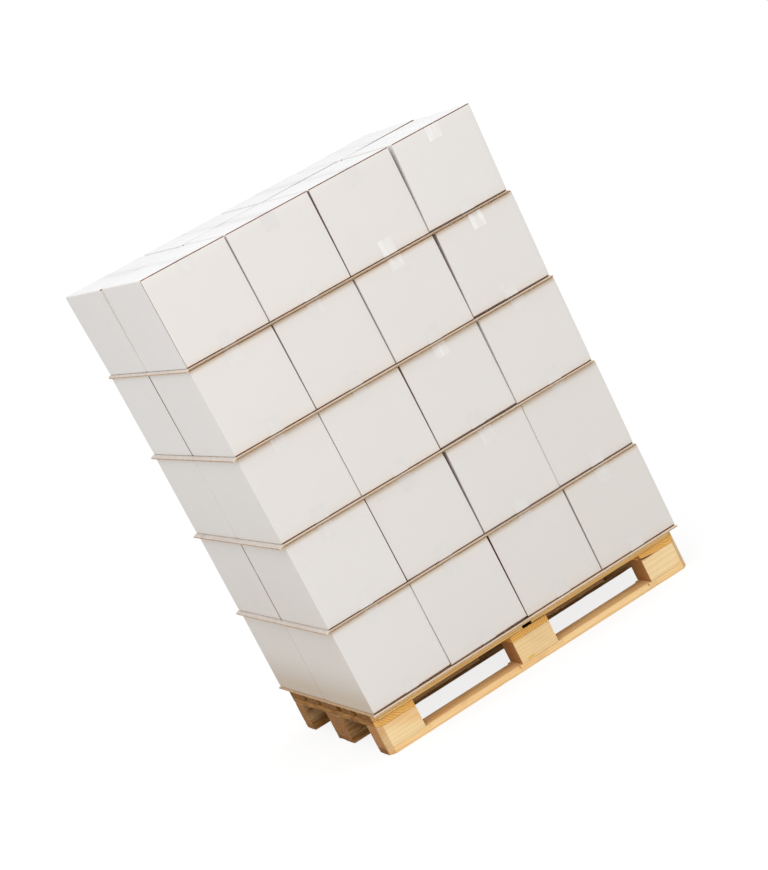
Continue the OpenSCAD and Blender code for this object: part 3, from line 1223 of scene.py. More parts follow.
@dataclass
class TapeLayer:
    """All the tape of one layer: a strip over the upper and the lower flaps of each carton."""

    node: str
    cartons: Sequence[Carton]
    seed: int
    bright: dict[tuple[int, bool], float]
    width: float = 0.05
    tab: float = 0.058
    lift: float = 0.0003
    ripple: float = 0.00007
    tooth: float = 0.0012
    columns: int = 20
    tab_rows: int = 12
    run_rows: int = 10
    slip: float = 0.004
    slant: float = 0.05
    tab_range: tuple[float, float] = (0.75, 1.0)
    milk_range: tuple[float, float] = (0.05, 0.3)
    ripples_across: float = 60.0
    ripples_along: float = 12.0
    seed_step: float = 3.7
    smooth_angle: float = 60.0

    def strip(self, carton: Carton, upper: bool,
              rng: random.Random) -> tuple[np.ndarray, np.ndarray, list[tuple[int, ...]]]:
        """Points and faces of one strip, from the end of its front tab over the flaps to its back tab.

        Args:
            carton: Carton that the strip closes.
            upper: Whether it closes the upper flaps.
            rng: Source of the strip's own small shifts.

        Returns:
            The points; how far each is from the slit, from the fold and under the sheet above; and the
            faces by their points.
        """
        _, length, height = carton.size
        slip = rng.uniform(-self.slip, self.slip)
        tabs = [self.tab * rng.uniform(*self.tab_range) for _ in range(2)]
        slant = rng.uniform(-self.slant, self.slant)
        across = np.linspace(-0.5, 0.5, self.columns + 1) * self.width
        rows: list[np.ndarray] = []
        off_fold: list[np.ndarray] = []

        def add_tab_row(share: float, tab: float, side: int) -> None:
            """Adds a row of points on a tab.

            Args:
                share: Share of the tab's length from the flaps to its torn end.
                tab: Length of the tab.
                side: -1 for the front panel, 1 for the back panel.
            """
            depth = share * (tab + slant * across)
            if share == 1.0:
                depth = depth + self.tooth * (np.arange(len(across)) % 2)
            depth = np.clip(depth, 0, None)
            rows.append(self.on_end(carton, across + slip, height - depth if upper else depth, side))
            off_fold.append(depth)

        shares = [row / self.tab_rows for row in range(self.tab_rows + 1)]
        off_board = self.lift / 2 - carton.form.room
        for share in reversed(shares):
            add_tab_row(share, tabs[0], -1)
        for row in range(self.run_rows + 1):
            along = np.full(across.shape, length * (row / self.run_rows - 0.5))
            up = np.full(across.shape, height + off_board if upper else -off_board)
            rows.append(np.column_stack([across + slip, along, up]))
            off_fold.append(length / 2 - np.abs(along))
        for share in shares:
            add_tab_row(share, tabs[1], 1)
        points = np.concatenate(rows)
        # The same depth gives the tabs the painted warm shadow under the sheet.
        below = height - points[:, 2] if carton.covered else np.full(len(points), height)
        marks = np.column_stack([points[:, 0], np.concatenate(off_fold), below])
        lift = carton.risen(points)
        points[:, 0] += carton.lean * np.clip(points[:, 2] / height, 0, 1)
        points[:, 2] += lift
        points += np.array(carton.foot)
        wide = self.columns + 1
        faces = []
        for row in range(len(rows) - 1):
            for i in range(self.columns):
                a = row * wide + i
                quad = (a, a + 1, a + wide + 1, a + wide)
                faces.append(quad if upper else quad[::-1])
        return points, marks, faces

    def on_end(self, carton: Carton, x: np.ndarray, z: np.ndarray, side: int) -> np.ndarray:
        """Places a row of points just off an end panel, with the small ripples of tape laid by hand.

        Args:
            carton: Carton that the tape is on.
            x: Places across the panel.
            z: Places up the panel.
            side: -1 for the front panel, 1 for the back panel.

        Returns:
            Rows of x, y and z about the carton's foot.
        """
        own = carton.seed * self.seed_step + side
        spots = [Vector((u * self.ripples_across, v * self.ripples_along, own)) for u, v in zip(x, z)]
        ripple = np.array([noise.noise(spot) for spot in spots])
        y = carton.size.y / 2 + carton.bow(x, z) + self.lift + self.ripple * (ripple + 1)
        return np.column_stack([x, side * y, z])

    def build(self, material: bpy.types.Material) -> bpy.types.Object:
        """Builds the layer's strips as one piece.

        Args:
            material: Clear tape.

        Returns:
            The finished piece.
        """
        rng = random.Random(self.seed)
        points, faces, milk_and_glint_share, run, marks, cast = [], [], [], [], [], []
        start = 0
        for index, carton in enumerate(self.cartons):
            for upper in (False, True):
                rows, places, quads = self.strip(carton, upper, rng)
                faces += [tuple(start + i for i in quad) for quad in quads]
                points.append(rows)
                marks.append(places)
                milk_and_glint = self.bright.get((index, upper), rng.uniform(*self.milk_range))
                milk_and_glint_share.append(np.full(len(rows), milk_and_glint))
                row = np.arange(len(rows)) // (self.columns + 1)
                run.append((row > self.tab_rows) & (row < self.tab_rows + self.run_rows + 2))
                # Tabs on the end panels take the carton's cast with its painted shade; the run over the
                # flaps takes none.
                cast.append(np.where(run[-1], 0.0, carton.cast))
                start += len(rows)
        mesh = bpy.data.meshes.new(self.node + "_mesh")
        mesh.from_pydata(np.concatenate(points).tolist(), [], faces)
        mesh.materials.append(material)
        set_values(mesh, "milk_and_glint_share", np.concatenate(milk_and_glint_share))
        set_values(mesh, "run", np.concatenate(run).astype(float))
        set_values(mesh, "cast", np.concatenate(cast))
        for name, values in zip(("off_slit", "off_fold", "below_sheet"), np.concatenate(marks).T):
            set_values(mesh, name, values)
        smooth(mesh, self.smooth_angle)
        return new_piece(self.node + "_film", mesh, [self.node])


class GrownTree:
    """A Geometry Nodes tree with named inputs, run once for each mesh that it makes."""

    def __init__(self, name: str, inputs: dict[str, str]) -> None:
        """Makes the tree with its inputs and its output.

        Args:
            name: Name of the tree.
            inputs: Socket type of each input, by its name.
        """
        self.tree = bpy.data.node_groups.new(name, "GeometryNodeTree")
        face = self.tree.interface
        face.new_socket("Geometry", in_out="INPUT", socket_type="NodeSocketGeometry")
        self.sockets = {label: face.new_socket(label, in_out="INPUT", socket_type=kind).identifier
                        for label, kind in inputs.items()}
        face.new_socket("Geometry", in_out="OUTPUT", socket_type="NodeSocketGeometry")
        self.graph = Graph(self.tree)
        self.given = self.graph.add("NodeGroupInput").outputs

    def dressed(self, shape: Socket, material: bpy.types.Material) -> Socket:
        """Turns a shape into plain mesh with a material.

        Args:
            shape: Shape that the tree has made.
            material: Finish of the shape.

        Returns:
            The finished shape.
        """
        real = self.graph.add("GeometryNodeRealizeInstances", {"Geometry": shape}).outputs[0]
        finish = {"Geometry": real, "Material": material}
        return self.graph.add("GeometryNodeSetMaterial", finish).outputs[0]

    def grow(self, name: str, inputs: dict[str, float],
             seeds: Sequence[Sequence[float]] = ((0.0, 0.0, 0.0),)) -> bpy.types.Mesh:
        """Runs the tree and takes what it makes as a plain mesh.

        Args:
            name: Name of the mesh.
            inputs: Values of the tree's inputs, by their names.
            seeds: Points that the tree starts from.

        Returns:
            The plain mesh.
        """
        base = bpy.data.meshes.new(name + "_points")
        base.from_pydata([tuple(seed) for seed in seeds], [], [])
        carrier = bpy.data.objects.new(name + "_carrier", base)
        bpy.context.scene.collection.objects.link(carrier)
        modifier = carrier.modifiers.new("grow", "NODES")
        modifier.node_group = self.tree
        for label, value in inputs.items():
            modifier[self.sockets[label]] = value
        evaluated = carrier.evaluated_get(bpy.context.evaluated_depsgraph_get())
        mesh = bpy.data.meshes.new_from_object(evaluated)
        mesh.name = name
        carrier.modifiers.remove(modifier)
        bpy.data.objects.remove(carrier)
        bpy.data.meshes.remove(base)
        return mesh


class FlutedBoardTree(GrownTree):
    """Tree of one corrugated sheet: two liners and the waved paper between them."""

    liner_cells: ClassVar[dict[str, int]] = {"Vertices X": 301, "Vertices Y": 3, "Vertices Z": 2}
    liners_of_inset: ClassVar[float] = 3.0
    liners_of_room: ClassVar[float] = 1.4
    liners_of_paper: ClassVar[float] = 0.6

    def __init__(self, under: bpy.types.Material, upper: bpy.types.Material,
                 flute: bpy.types.Material) -> None:
        """Builds the tree.

        Args:
            under: Finish of the lower liner.
            upper: Finish of the upper liner.
            flute: Finish of the waved paper between them.
        """
        sizes = dict.fromkeys(("Length", "Depth", "Thickness", "Liner", "Pitch"), "NodeSocketFloat")
        super().__init__("fluted_board", {**sizes, "Rows": "NodeSocketInt"})
        graph, size = self.graph, self.given
        half = graph.times(size["Thickness"], 0.5)
        liners = []
        for side in (-1.0, 1.0):
            plate = {"Size": graph.vector(size["Length"], size["Depth"], size["Liner"]), **self.liner_cells}
            block = graph.add("GeometryNodeMeshCube", plate).outputs["Mesh"]
            middle = graph.less(half, graph.times(size["Liner"], 0.5))
            move = {"Geometry": block, "Translation": graph.vector(0.0, 0.0, graph.times(middle, side))}
            liners.append(graph.add("GeometryNodeTransform", move).outputs[0])
        inset = graph.less(size["Length"], graph.times(size["Liner"], self.liners_of_inset))
        deep = graph.less(size["Depth"], size["Liner"])
        cells = {"Size X": inset, "Size Y": deep, "Vertices X": size["Rows"], "Vertices Y": 2}
        grid = graph.add("GeometryNodeMeshGrid", cells).outputs["Mesh"]
        along = graph.part(graph.add("GeometryNodeInputPosition").outputs[0], "X")
        turns = graph.math("DIVIDE", along, size["Pitch"])
        wave = graph.math("SINE", graph.times(turns, math.tau))
        swing = graph.less(half, graph.times(size["Liner"], self.liners_of_room))
        lift = graph.vector(0.0, 0.0, graph.times(wave, swing))
        waved = graph.add("GeometryNodeSetPosition", {"Geometry": grid, "Offset": lift}).outputs[0]
        paper = graph.times(size["Liner"], self.liners_of_paper)
        thicken = {"Mesh": waved, "Offset Scale": paper, "Individual": False}
        thick = graph.add("GeometryNodeExtrudeMesh", thicken).outputs["Mesh"]
        below = graph.add("GeometryNodeFlipFaces", {"Mesh": waved}).outputs[0]
        board = graph.add("GeometryNodeJoinGeometry")
        for parts, finish in ((liners[:1], under), (liners[1:], upper), ((thick, below), flute)):
            join = graph.add("GeometryNodeJoinGeometry")
            for part in parts:
                graph.link(part, join, 0)
            joined = {"Geometry": join.outputs[0], "Distance": WELD}
            whole = graph.add("GeometryNodeMergeByDistance", joined).outputs[0]
            graph.link(self.dressed(whole, finish), board, 0)
        graph.add("NodeGroupOutput", {"Geometry": board.outputs[0]})


class NailTree(GrownTree):
    """Tree that puts a low nail head on each point."""

    sides: ClassVar[int] = 14
    crown: ClassVar[float] = 0.8
    tilt: ClassVar[float] = 0.05
    seed: ClassVar[int] = 7

    def __init__(self, material: bpy.types.Material) -> None:
        """Builds the tree.

        Args:
            material: Finish of the nails.
        """
        super().__init__("nail_heads", dict.fromkeys(("Head Radius", "Head Height"), "NodeSocketFloat"))
        graph, given = self.graph, self.given
        top = graph.times(given["Head Radius"], self.crown)
        cone = {"Vertices": self.sides, "Side Segments": 2, "Radius Top": top,
                "Radius Bottom": given["Head Radius"], "Depth": given["Head Height"]}
        head = graph.add("GeometryNodeMeshCone", cone).outputs["Mesh"]
        turns = {"Min": (0.0, 0.0, 0.0), "Max": (self.tilt, self.tilt, math.tau), "Seed": self.seed}
        turn = graph.add("FunctionNodeRandomValue", turns, data_type="FLOAT_VECTOR").outputs[0]
        placed = {"Points": given["Geometry"], "Instance": head, "Rotation": turn}
        heads = graph.add("GeometryNodeInstanceOnPoints", placed).outputs[0]
        graph.add("NodeGroupOutput", {"Geometry": self.dressed(heads, material)})


@dataclass
class SlipSheet:
    """One corrugated sheet, fluted from front to back; over a layer of cartons its left lip droops."""

    layer: int
    liner: float = 0.0006
    pitch: float = 0.0078
    rows_per_flute: int = 8
    clearance: float = 0.0001
    droop: float = 0.005
    lip_start: float = 0.0005
    lip_curve: float = 1.5
    smooth_angle: float = 50.0

    def build(self, tree: FlutedBoardTree) -> bpy.types.Object:
        """Builds the sheet in its place.

        Args:
            tree: Geometry Nodes tree of the board.

        Returns:
            The finished piece.
        """
        node = f"slip_sheet_{self.layer}"
        low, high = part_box(node)
        size = high - low
        flutes = round(size.x / self.pitch)
        values = {"Length": size.x, "Depth": size.y, "Thickness": size.z - 2 * self.clearance,
                  "Liner": self.liner, "Pitch": size.x / flutes, "Rows": flutes * self.rows_per_flute + 1}
        mesh = tree.grow(node + "_mesh", values)
        mesh.transform(Matrix.Translation((low + high) / 2))
        if self.layer > 1:
            self.bend_lip(mesh, low.x)
        smooth(mesh, self.smooth_angle)
        return new_piece(node + "_fluted", mesh, [node])

    def bend_lip(self, mesh: bpy.types.Mesh, end: float) -> None:
        """Bends the sheet down where it reaches past the left side of the cartons under it.

        Args:
            mesh: Mesh of the flat sheet.
            end: Left end of the sheet.
        """
        nodes = (Spot(self.layer - 1, 1, row).node for row in Row)
        start = min(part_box(node)[0].x for node in nodes) - self.lip_start
        points = points_of(mesh)
        past = np.clip((start - points[:, 0]) / max(start - end, self.lip_start), 0, 1)
        points[:, 2] -= self.droop * past ** self.lip_curve
        mesh.vertices.foreach_set("co", points.astype(np.float32).ravel())


@dataclass
class Timber:
    """Sawn pieces of one kind: eased edges, small chips, and the run of the grain for the finish."""

    node: str
    slot: Slot
    grain: Axis
    seed: int
    ease: float = 0.0016
    chip: float = 0.003
    rough: float = 0.0002
    along_step: float = 0.03
    across_step: float = 0.018
    # Faces this near the pallet's outside count as end faces, which are made darker; inner front and back
    # faces get painted shade.
    outer_depth: float = 0.006
    side_face_reach: float = 0.0025
    end_darkening: float = 1.0
    inner_shade: float = 1.0
    edge_darkening: float = 0.6
    flat_angle: float = 1.0
    sharp_angle: float = 20.0
    smooth_angle: float = 35.0
    pith_aside: float = 0.05
    pith_depth: tuple[float, float] = (0.03, 0.085)
    grain_shift: float = 9.0
    facing: float = 0.2
    square_on: float = 0.9
    end_fade: tuple[float, float] = (0.5, 0.45)
    ease_steps: int = 2
    ease_profile: float = 0.6
    edge_reach: float = 2.2
    edge_rough: float = 0.6
    chip_start: float = 0.22
    chip_scale: float = 21.0
    edge_scale: float = 70.0
    face_scale: float = 45.0
    piece_shift: float = 3.1

    @staticmethod
    def islands(points: np.ndarray, edges: np.ndarray) -> np.ndarray:
        """Numbers the separate sawn pieces.

        Args:
            points: Points of all the pieces.
            edges: Pairs of points that an edge joins.

        Returns:
            The number of the piece that each point belongs to.
        """
        label = np.arange(len(points))
        while True:
            lowest = label.copy()
            np.minimum.at(lowest, edges[:, 0], label[edges[:, 1]])
            np.minimum.at(lowest, edges[:, 1], label[edges[:, 0]])
            lowest = lowest[lowest]
            if np.array_equal(lowest, label):
                return np.unique(label, return_inverse=True)[1]
            label = lowest

    def cut(self, form: bmesh.types.BMesh) -> None:
        """Cuts the faces into a net that small chips and saw marks can move.

        Args:
            form: Merged copy of the solids.
        """
        low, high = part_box(self.node)
        for axis in range(3):
            step = self.along_step if axis == self.grain.value else self.across_step
            count = max(2, round((high[axis] - low[axis]) / step))
            normal = Vector((axis == 0, axis == 1, axis == 2))
            for i in range(1, count):
                spot = low.lerp(high, i / count)
                everything = form.verts[:] + form.edges[:] + form.faces[:]
                bmesh.ops.bisect_plane(form, geom=everything, dist=WELD, plane_co=spot, plane_no=normal)

    def build(self, material: bpy.types.Material) -> bpy.types.Object:
        """Builds the pieces of this kind from their solids.

        Args:
            material: Finish of the wood.

        Returns:
            The finished piece.
        """
        form = bmesh.new()
        form.from_mesh(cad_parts[self.node].data)
        bmesh.ops.remove_doubles(form, verts=form.verts[:], dist=WELD)
        bmesh.ops.dissolve_limit(form, angle_limit=math.radians(self.flat_angle), verts=form.verts[:],
                                 edges=form.edges[:])
        least = math.radians(self.sharp_angle)
        sharp = [edge for edge in form.edges if edge.calc_face_angle(0.0) > least]
        bmesh.ops.bevel(form, geom=sharp, offset=self.ease, segments=self.ease_steps,
                        profile=self.ease_profile, affect="EDGES", clamp_overlap=True)
        self.cut(form)
        bmesh.ops.recalc_face_normals(form, faces=form.faces[:])
        mesh = bpy.data.meshes.new(self.node + "_mesh")
        form.to_mesh(mesh)
        form.free()
        mesh.materials.append(material)
        self.weather(mesh)
        smooth(mesh, self.smooth_angle)
        return new_piece(self.node + "_sawn", mesh, [self.node])

    def weather(self, mesh: bpy.types.Mesh) -> None:
        """Chips the edges, roughens the faces and stores the run of the grain, the darker end faces and the
        faces inside the pallet that get painted shade.

        Args:
            mesh: Mesh of the sawn pieces.
        """
        points = points_of(mesh)
        ends = np.zeros(len(mesh.edges) * 2, np.int32)
        mesh.edges.foreach_get("vertices", ends)
        label = self.islands(points, ends.reshape(-1, 2))
        rng = random.Random(self.seed)
        along = self.grain.value
        grain = np.zeros_like(points)
        cast = np.zeros(len(points))
        to_side = np.zeros(len(points))
        moved = points.copy()
        for piece in range(label.max() + 1):
            own = label == piece
            low, high = points[own].min(0), points[own].max(0)
            middle = (low + high) / 2
            aside = rng.uniform(-self.pith_aside, self.pith_aside)
            depth = rng.choice((-1, 1)) * rng.uniform(*self.pith_depth)
            place = points[own] - middle
            grain[own, 0] = place[:, along] + rng.uniform(0, self.grain_shift)
            grain[own, 1] = place[:, 1 - along] + aside
            grain[own, 2] = place[:, 2] + depth
            cast[own] = rng.random()
            to_side[own] = np.minimum(points[own, 1] - low[1], high[1] - points[own, 1])
            moved[own] = self.chipped(points[own], low, high, piece)
        moved[:, 2] = np.maximum(moved[:, 2], 0.0)
        mesh.vertices.foreach_set("co", moved.astype(np.float32).ravel())
        set_values(mesh, "grain", grain)
        set_values(mesh, "cast", cast)
        middles, normals = face_rows(mesh)
        middles, normals = np.abs(middles), np.abs(normals)
        _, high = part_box("deck_boards")
        # Faces on the pallet's left and right ends: made darker.
        outer = (middles[:, 0] > high.x - self.outer_depth) & (normals[:, 0] > self.facing)
        near = np.array([to_side[list(face.vertices)].max() < self.side_face_reach for face in mesh.polygons])
        # Painted shade: front and back faces inside the pallet, and the cross boards' upper and lower
        # faces.
        inner = (middles[:, 1] < high.y - self.outer_depth) & (normals[:, 1] > self.facing) & near
        if self.grain is Axis.Y:
            inner |= normals[:, 2] > self.square_on
        least, fade = self.end_fade
        set_values(mesh, "end_grain", np.clip((normals[:, along] - least) / fade, 0, 1), Domain.FACE)
        outer = outer * self.end_darkening * np.where(normals[:, 0] > self.square_on, 1.0, self.edge_darkening)
        set_values(mesh, "darkening_and_shade", np.maximum(outer, inner * self.inner_shade), Domain.FACE)

    def chipped(self, points: np.ndarray, low: np.ndarray, high: np.ndarray, piece: int) -> np.ndarray:
        """Moves the points of one sawn piece: chips along its edges, saw roughness elsewhere.

        Args:
            points: Points of the piece.
            low: Lowest corner of the piece.
            high: Highest corner of the piece.
            piece: Number of the piece.

        Returns:
            The moved points.
        """
        near = self.edge_reach * self.ease
        at_low, at_high = points - low < near, high - points < near
        inward = at_low.astype(float) - at_high.astype(float)
        edge = (at_low | at_high).sum(1) >= 2
        out = points.copy()
        for i, point in enumerate(points):
            spot = Vector(point) + Vector((0, 0, self.piece_shift * piece + self.seed))
            if edge[i]:
                chip = self.chip * max(noise.noise(spot * self.chip_scale) - self.chip_start, 0)
                rough = self.edge_rough * self.rough * (noise.noise(spot * self.edge_scale) + 1)
                out[i] += inward[i] * (chip + rough)
            else:
                out[i] += inward[i] * self.rough * (noise.noise(spot * self.face_scale) + 1)
        return out


@dataclass
class Nails:
    """Nail heads of the pallet: over each cross board and under the bottom boards at each block."""

    radius: float = 0.0042
    height: float = 0.0016
    inset: float = 0.03
    block_x: float = 0.5275
    shares: tuple[float, float, float] = (0.22, 0.5, 0.78)
    sunk: float = 0.3
    smooth_angle: float = 40.0

    def places(self) -> list[tuple[float, float, float]]:
        """Works out where the nails are from the boards' boxes.

        Returns:
            The middle of each head.
        """
        rows: list[tuple[float, float, float]] = []
        _, deck_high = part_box("deck_boards")
        run_low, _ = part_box("bottom_boards")
        board_x = (-self.block_x, 0.0, self.block_x)
        for node in (skid.value for skid in Skid):
            low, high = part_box(node)
            for x in board_x:
                for i, share in enumerate(self.shares):
                    y = low.y + (high.y - low.y) * share
                    aside = (i % 2 * 2 - 1) * self.inset
                    rows.append((x + aside, y, run_low.z + self.height / 2))
                    rows.append((x - aside, y, deck_high.z - self.height * self.sunk))
        return rows

    def build(self, tree: NailTree) -> bpy.types.Object:
        """Builds all the heads as one piece.

        Args:
            tree: Geometry Nodes tree of the heads.

        Returns:
            The finished piece.
        """
        values = {"Head Radius": self.radius, "Head Height": self.height}
        mesh = tree.grow("nail_heads_mesh", values, self.places())
        smooth(mesh, self.smooth_angle)
        return new_piece("nail_heads", mesh)


@dataclass
class Staple:
    """Plain flat-crowned staple driven into the front of the middle block."""

    width: float = 0.027
    wire: float = 0.0008
    crown: float = 0.0022
    bow: float = 0.0014
    bow_curve: float = 0.4
    sunk: float = 0.0008
    rise: float = 0.0015
    x: float = -0.034
    z: float = 0.0285
    sides: int = 8
    steps: int = 12
    smooth_angle: float = 50.0

    def build(self, material: bpy.types.Material) -> bpy.types.Object:
        """Builds the staple as a bent flat wire that enters the wood at both ends.

        Args:
            material: Finish of the wire.

        Returns:
            The finished piece.
        """
        low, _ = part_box("blocks_front")
        path: list[Vector] = []
        for i in range(self.steps + 1):
            share = i / self.steps
            out = self.bow * math.sin(math.pi * share) ** self.bow_curve - self.sunk
            across = self.x + (share - 0.5) * self.width
            path.append(Vector((across, low.y - out, self.z + self.rise * share)))
        form = bmesh.new()
        rings = []
        for i, point in enumerate(path):
            ahead = (path[min(i + 1, len(path) - 1)] - path[max(i - 1, 0)]).normalized()
            side = ahead.cross(Vector((0, 0, 1))).normalized()
            up = side.cross(ahead)
            turns = [math.tau * k / self.sides for k in range(self.sides)]
            around = [self.wire * math.cos(a) * side + self.crown * math.sin(a) * up for a in turns]
            rings.append([form.verts.new(point + offset) for offset in around])
        for first, second in zip(rings, rings[1:]):
            for k in range(self.sides):
                n = (k + 1) % self.sides
                form.faces.new((first[k], first[n], second[n], second[k]))
        form.faces.new(rings[0][::-1])
        form.faces.new(rings[-1])
        bmesh.ops.recalc_face_normals(form, faces=form.faces[:])
        mesh = bpy.data.meshes.new("block_staple_mesh")
        form.to_mesh(mesh)
        form.free()
        mesh.materials.append(material)
        smooth(mesh, self.smooth_angle)
        return new_piece("block_staple", mesh)


@dataclass
class CartonStack:
    """The cartons and their tape, layer by layer from the floor up."""

    form: CartonForm = field(default_factory=CartonForm)
    layers: int = 5
    columns: int = 4
    # Per layer and seam: strength of the rubbed corner creases and of the painted brown shade on hidden
    # walls.
    seam_rub_and_shade: tuple[tuple[float, ...], ...] = (
        (0.05, 0.1, 0.95, 0.35, 0.1), (0.05, 1.0, 0.35, 0.03, 0.1), (0.05, 0.0, 0.7, 0.0, 0.1),
        (0.05, 0.5, 0.3, 0.35, 0.1), (1.0, 0.2, 0.7, 0.05, 0.1))
    row_rub_and_shade: tuple[float, ...] = (0.15, 1.0, 0.1, 1.0, 0.12)
    foot_lifts: tuple[tuple[int, int, float, float], ...] = (
        (1, 1, 0.001, 0.0042), (1, 2, 0.0006, 0.005), (2, 3, 0.001, 0.0016), (2, 4, 0.0016, 0.001),
        (3, 3, 0.0016, 0.004), (4, 4, 0.004, 0.0014), (5, 4, 0.0026, 0.0008))
    top_swells: tuple[tuple[float, float], ...] = (
        (0.0, 0.0), (0.0003, 0.0005), (0.0008, 0.0014), (0.0, 0.0036))
    # Milkiness of listed tabs by layer, column and upper flaps: creased film and partly painted glint.
    bright: tuple[tuple[int, int, bool, float], ...] = (
        (5, 4, True, 0.8), (5, 3, False, 0.75), (4, 3, True, 0.7), (4, 4, True, 0.85), (3, 3, True, 0.6),
        (2, 4, False, 0.25), (5, 4, False, 0.2), (1, 4, False, 0.15))
    # Share of the greyer wall colour: painted shade on every wall, growing to the right and down the stack.
    cast: float = 0.64
    wall_shade_fall: float = 0.27
    cast_spread: float = 0.06
    seed: int = 41
    seeds: int = 10 ** 6
    tape_seed: int = 100

    def joints(self, spot: Spot) -> tuple[tuple[float, ...], tuple[int, ...]]:
        """Says how a carton's upright corners are rubbed, with painted shade on the hidden walls, and which
        wall beside each is against a carton.

        Args:
            spot: Place of the carton.

        Returns:
            The strength of the rub, and of the painted shade on the hidden wall, at the front right, back
            right, back left and front left corner, and for each the wall that is hidden: 1 for the next one
            round, -1 for the one before.
        """
        left, right = self.seam_rub_and_shade[spot.layer - 1][spot.column - 1:spot.column + 1]
        between = self.row_rub_and_shade[spot.layer - 1]
        first, last = spot.column == 1, spot.column == self.columns
        if spot.row is Row.FRONT:
            return (right, between, between, left), (0 if last else 1, 1, -1, 0 if first else -1)
        return (between, right, left, between), (-1, 0 if last else -1, 0 if first else 1, 1)

    def lift_of(self, spot: Spot) -> tuple[float, float]:
        """Looks up how far a carton's front foot stands off its sheet.

        Args:
            spot: Place of the carton.

        Returns:
            The lift of the left and of the right end of the foot.
        """
        for layer, column, left, right in self.foot_lifts:
            if spot == (layer, column, Row.FRONT):
                return left, right
        return 0.0, 0.0

    def swell_of(self, spot: Spot) -> tuple[float, float]:
        """Says how far the left and right of a carton's top are swelled: the top layer's back row is."""
        swelled = (spot.layer, spot.row) == (self.layers, Row.BACK)
        return self.top_swells[spot.column - 1] if swelled else (0.0, 0.0)

    def wall_shade_of(self, spot: Spot) -> float:
        """Says how far a carton's walls are painted greyer: painted shade, which grows to the right and
        towards the foot of the stack.
        """
        right, low = (spot.column - 1) / (self.columns - 1), (self.layers - spot.layer) / (self.layers - 1)
        return self.cast + self.wall_shade_fall * right * low

    def build(self, board: bpy.types.Material, edge: bpy.types.Material,
              tape: bpy.types.Material) -> None:
        """Builds every carton and the tape of every layer.

        Args:
            board: White board.
            edge: Raw cut edge.
            tape: Clear tape.
        """
        rng = random.Random(self.seed)
        for layer in range(1, self.layers + 1):
            cartons: list[Carton] = []
            bright: dict[tuple[int, bool], float] = {}
            for column, row in itertools.product(range(1, self.columns + 1), Row):
                spot = Spot(layer, column, row)
                # Painted wall shade, plus a little random tone.
                cast = self.wall_shade_of(spot) + self.cast_spread * rng.random()
                wear_and_seam_shade, inner = self.joints(spot)
                carton = Carton(spot.node, self.form, rng.randrange(self.seeds), wear_and_seam_shade, inner, cast,
                                self.lift_of(spot), self.swell_of(spot), layer < self.layers, column == 1)
                carton.build((board, edge))
                for mark_layer, mark_column, upper, strength in self.bright:
                    if spot == (mark_layer, mark_column, Row.FRONT):
                        bright[(len(cartons), upper)] = strength
                cartons.append(carton)
            TapeLayer(f"tape_layer_{layer}", cartons, self.tape_seed + layer, bright).build(tape)


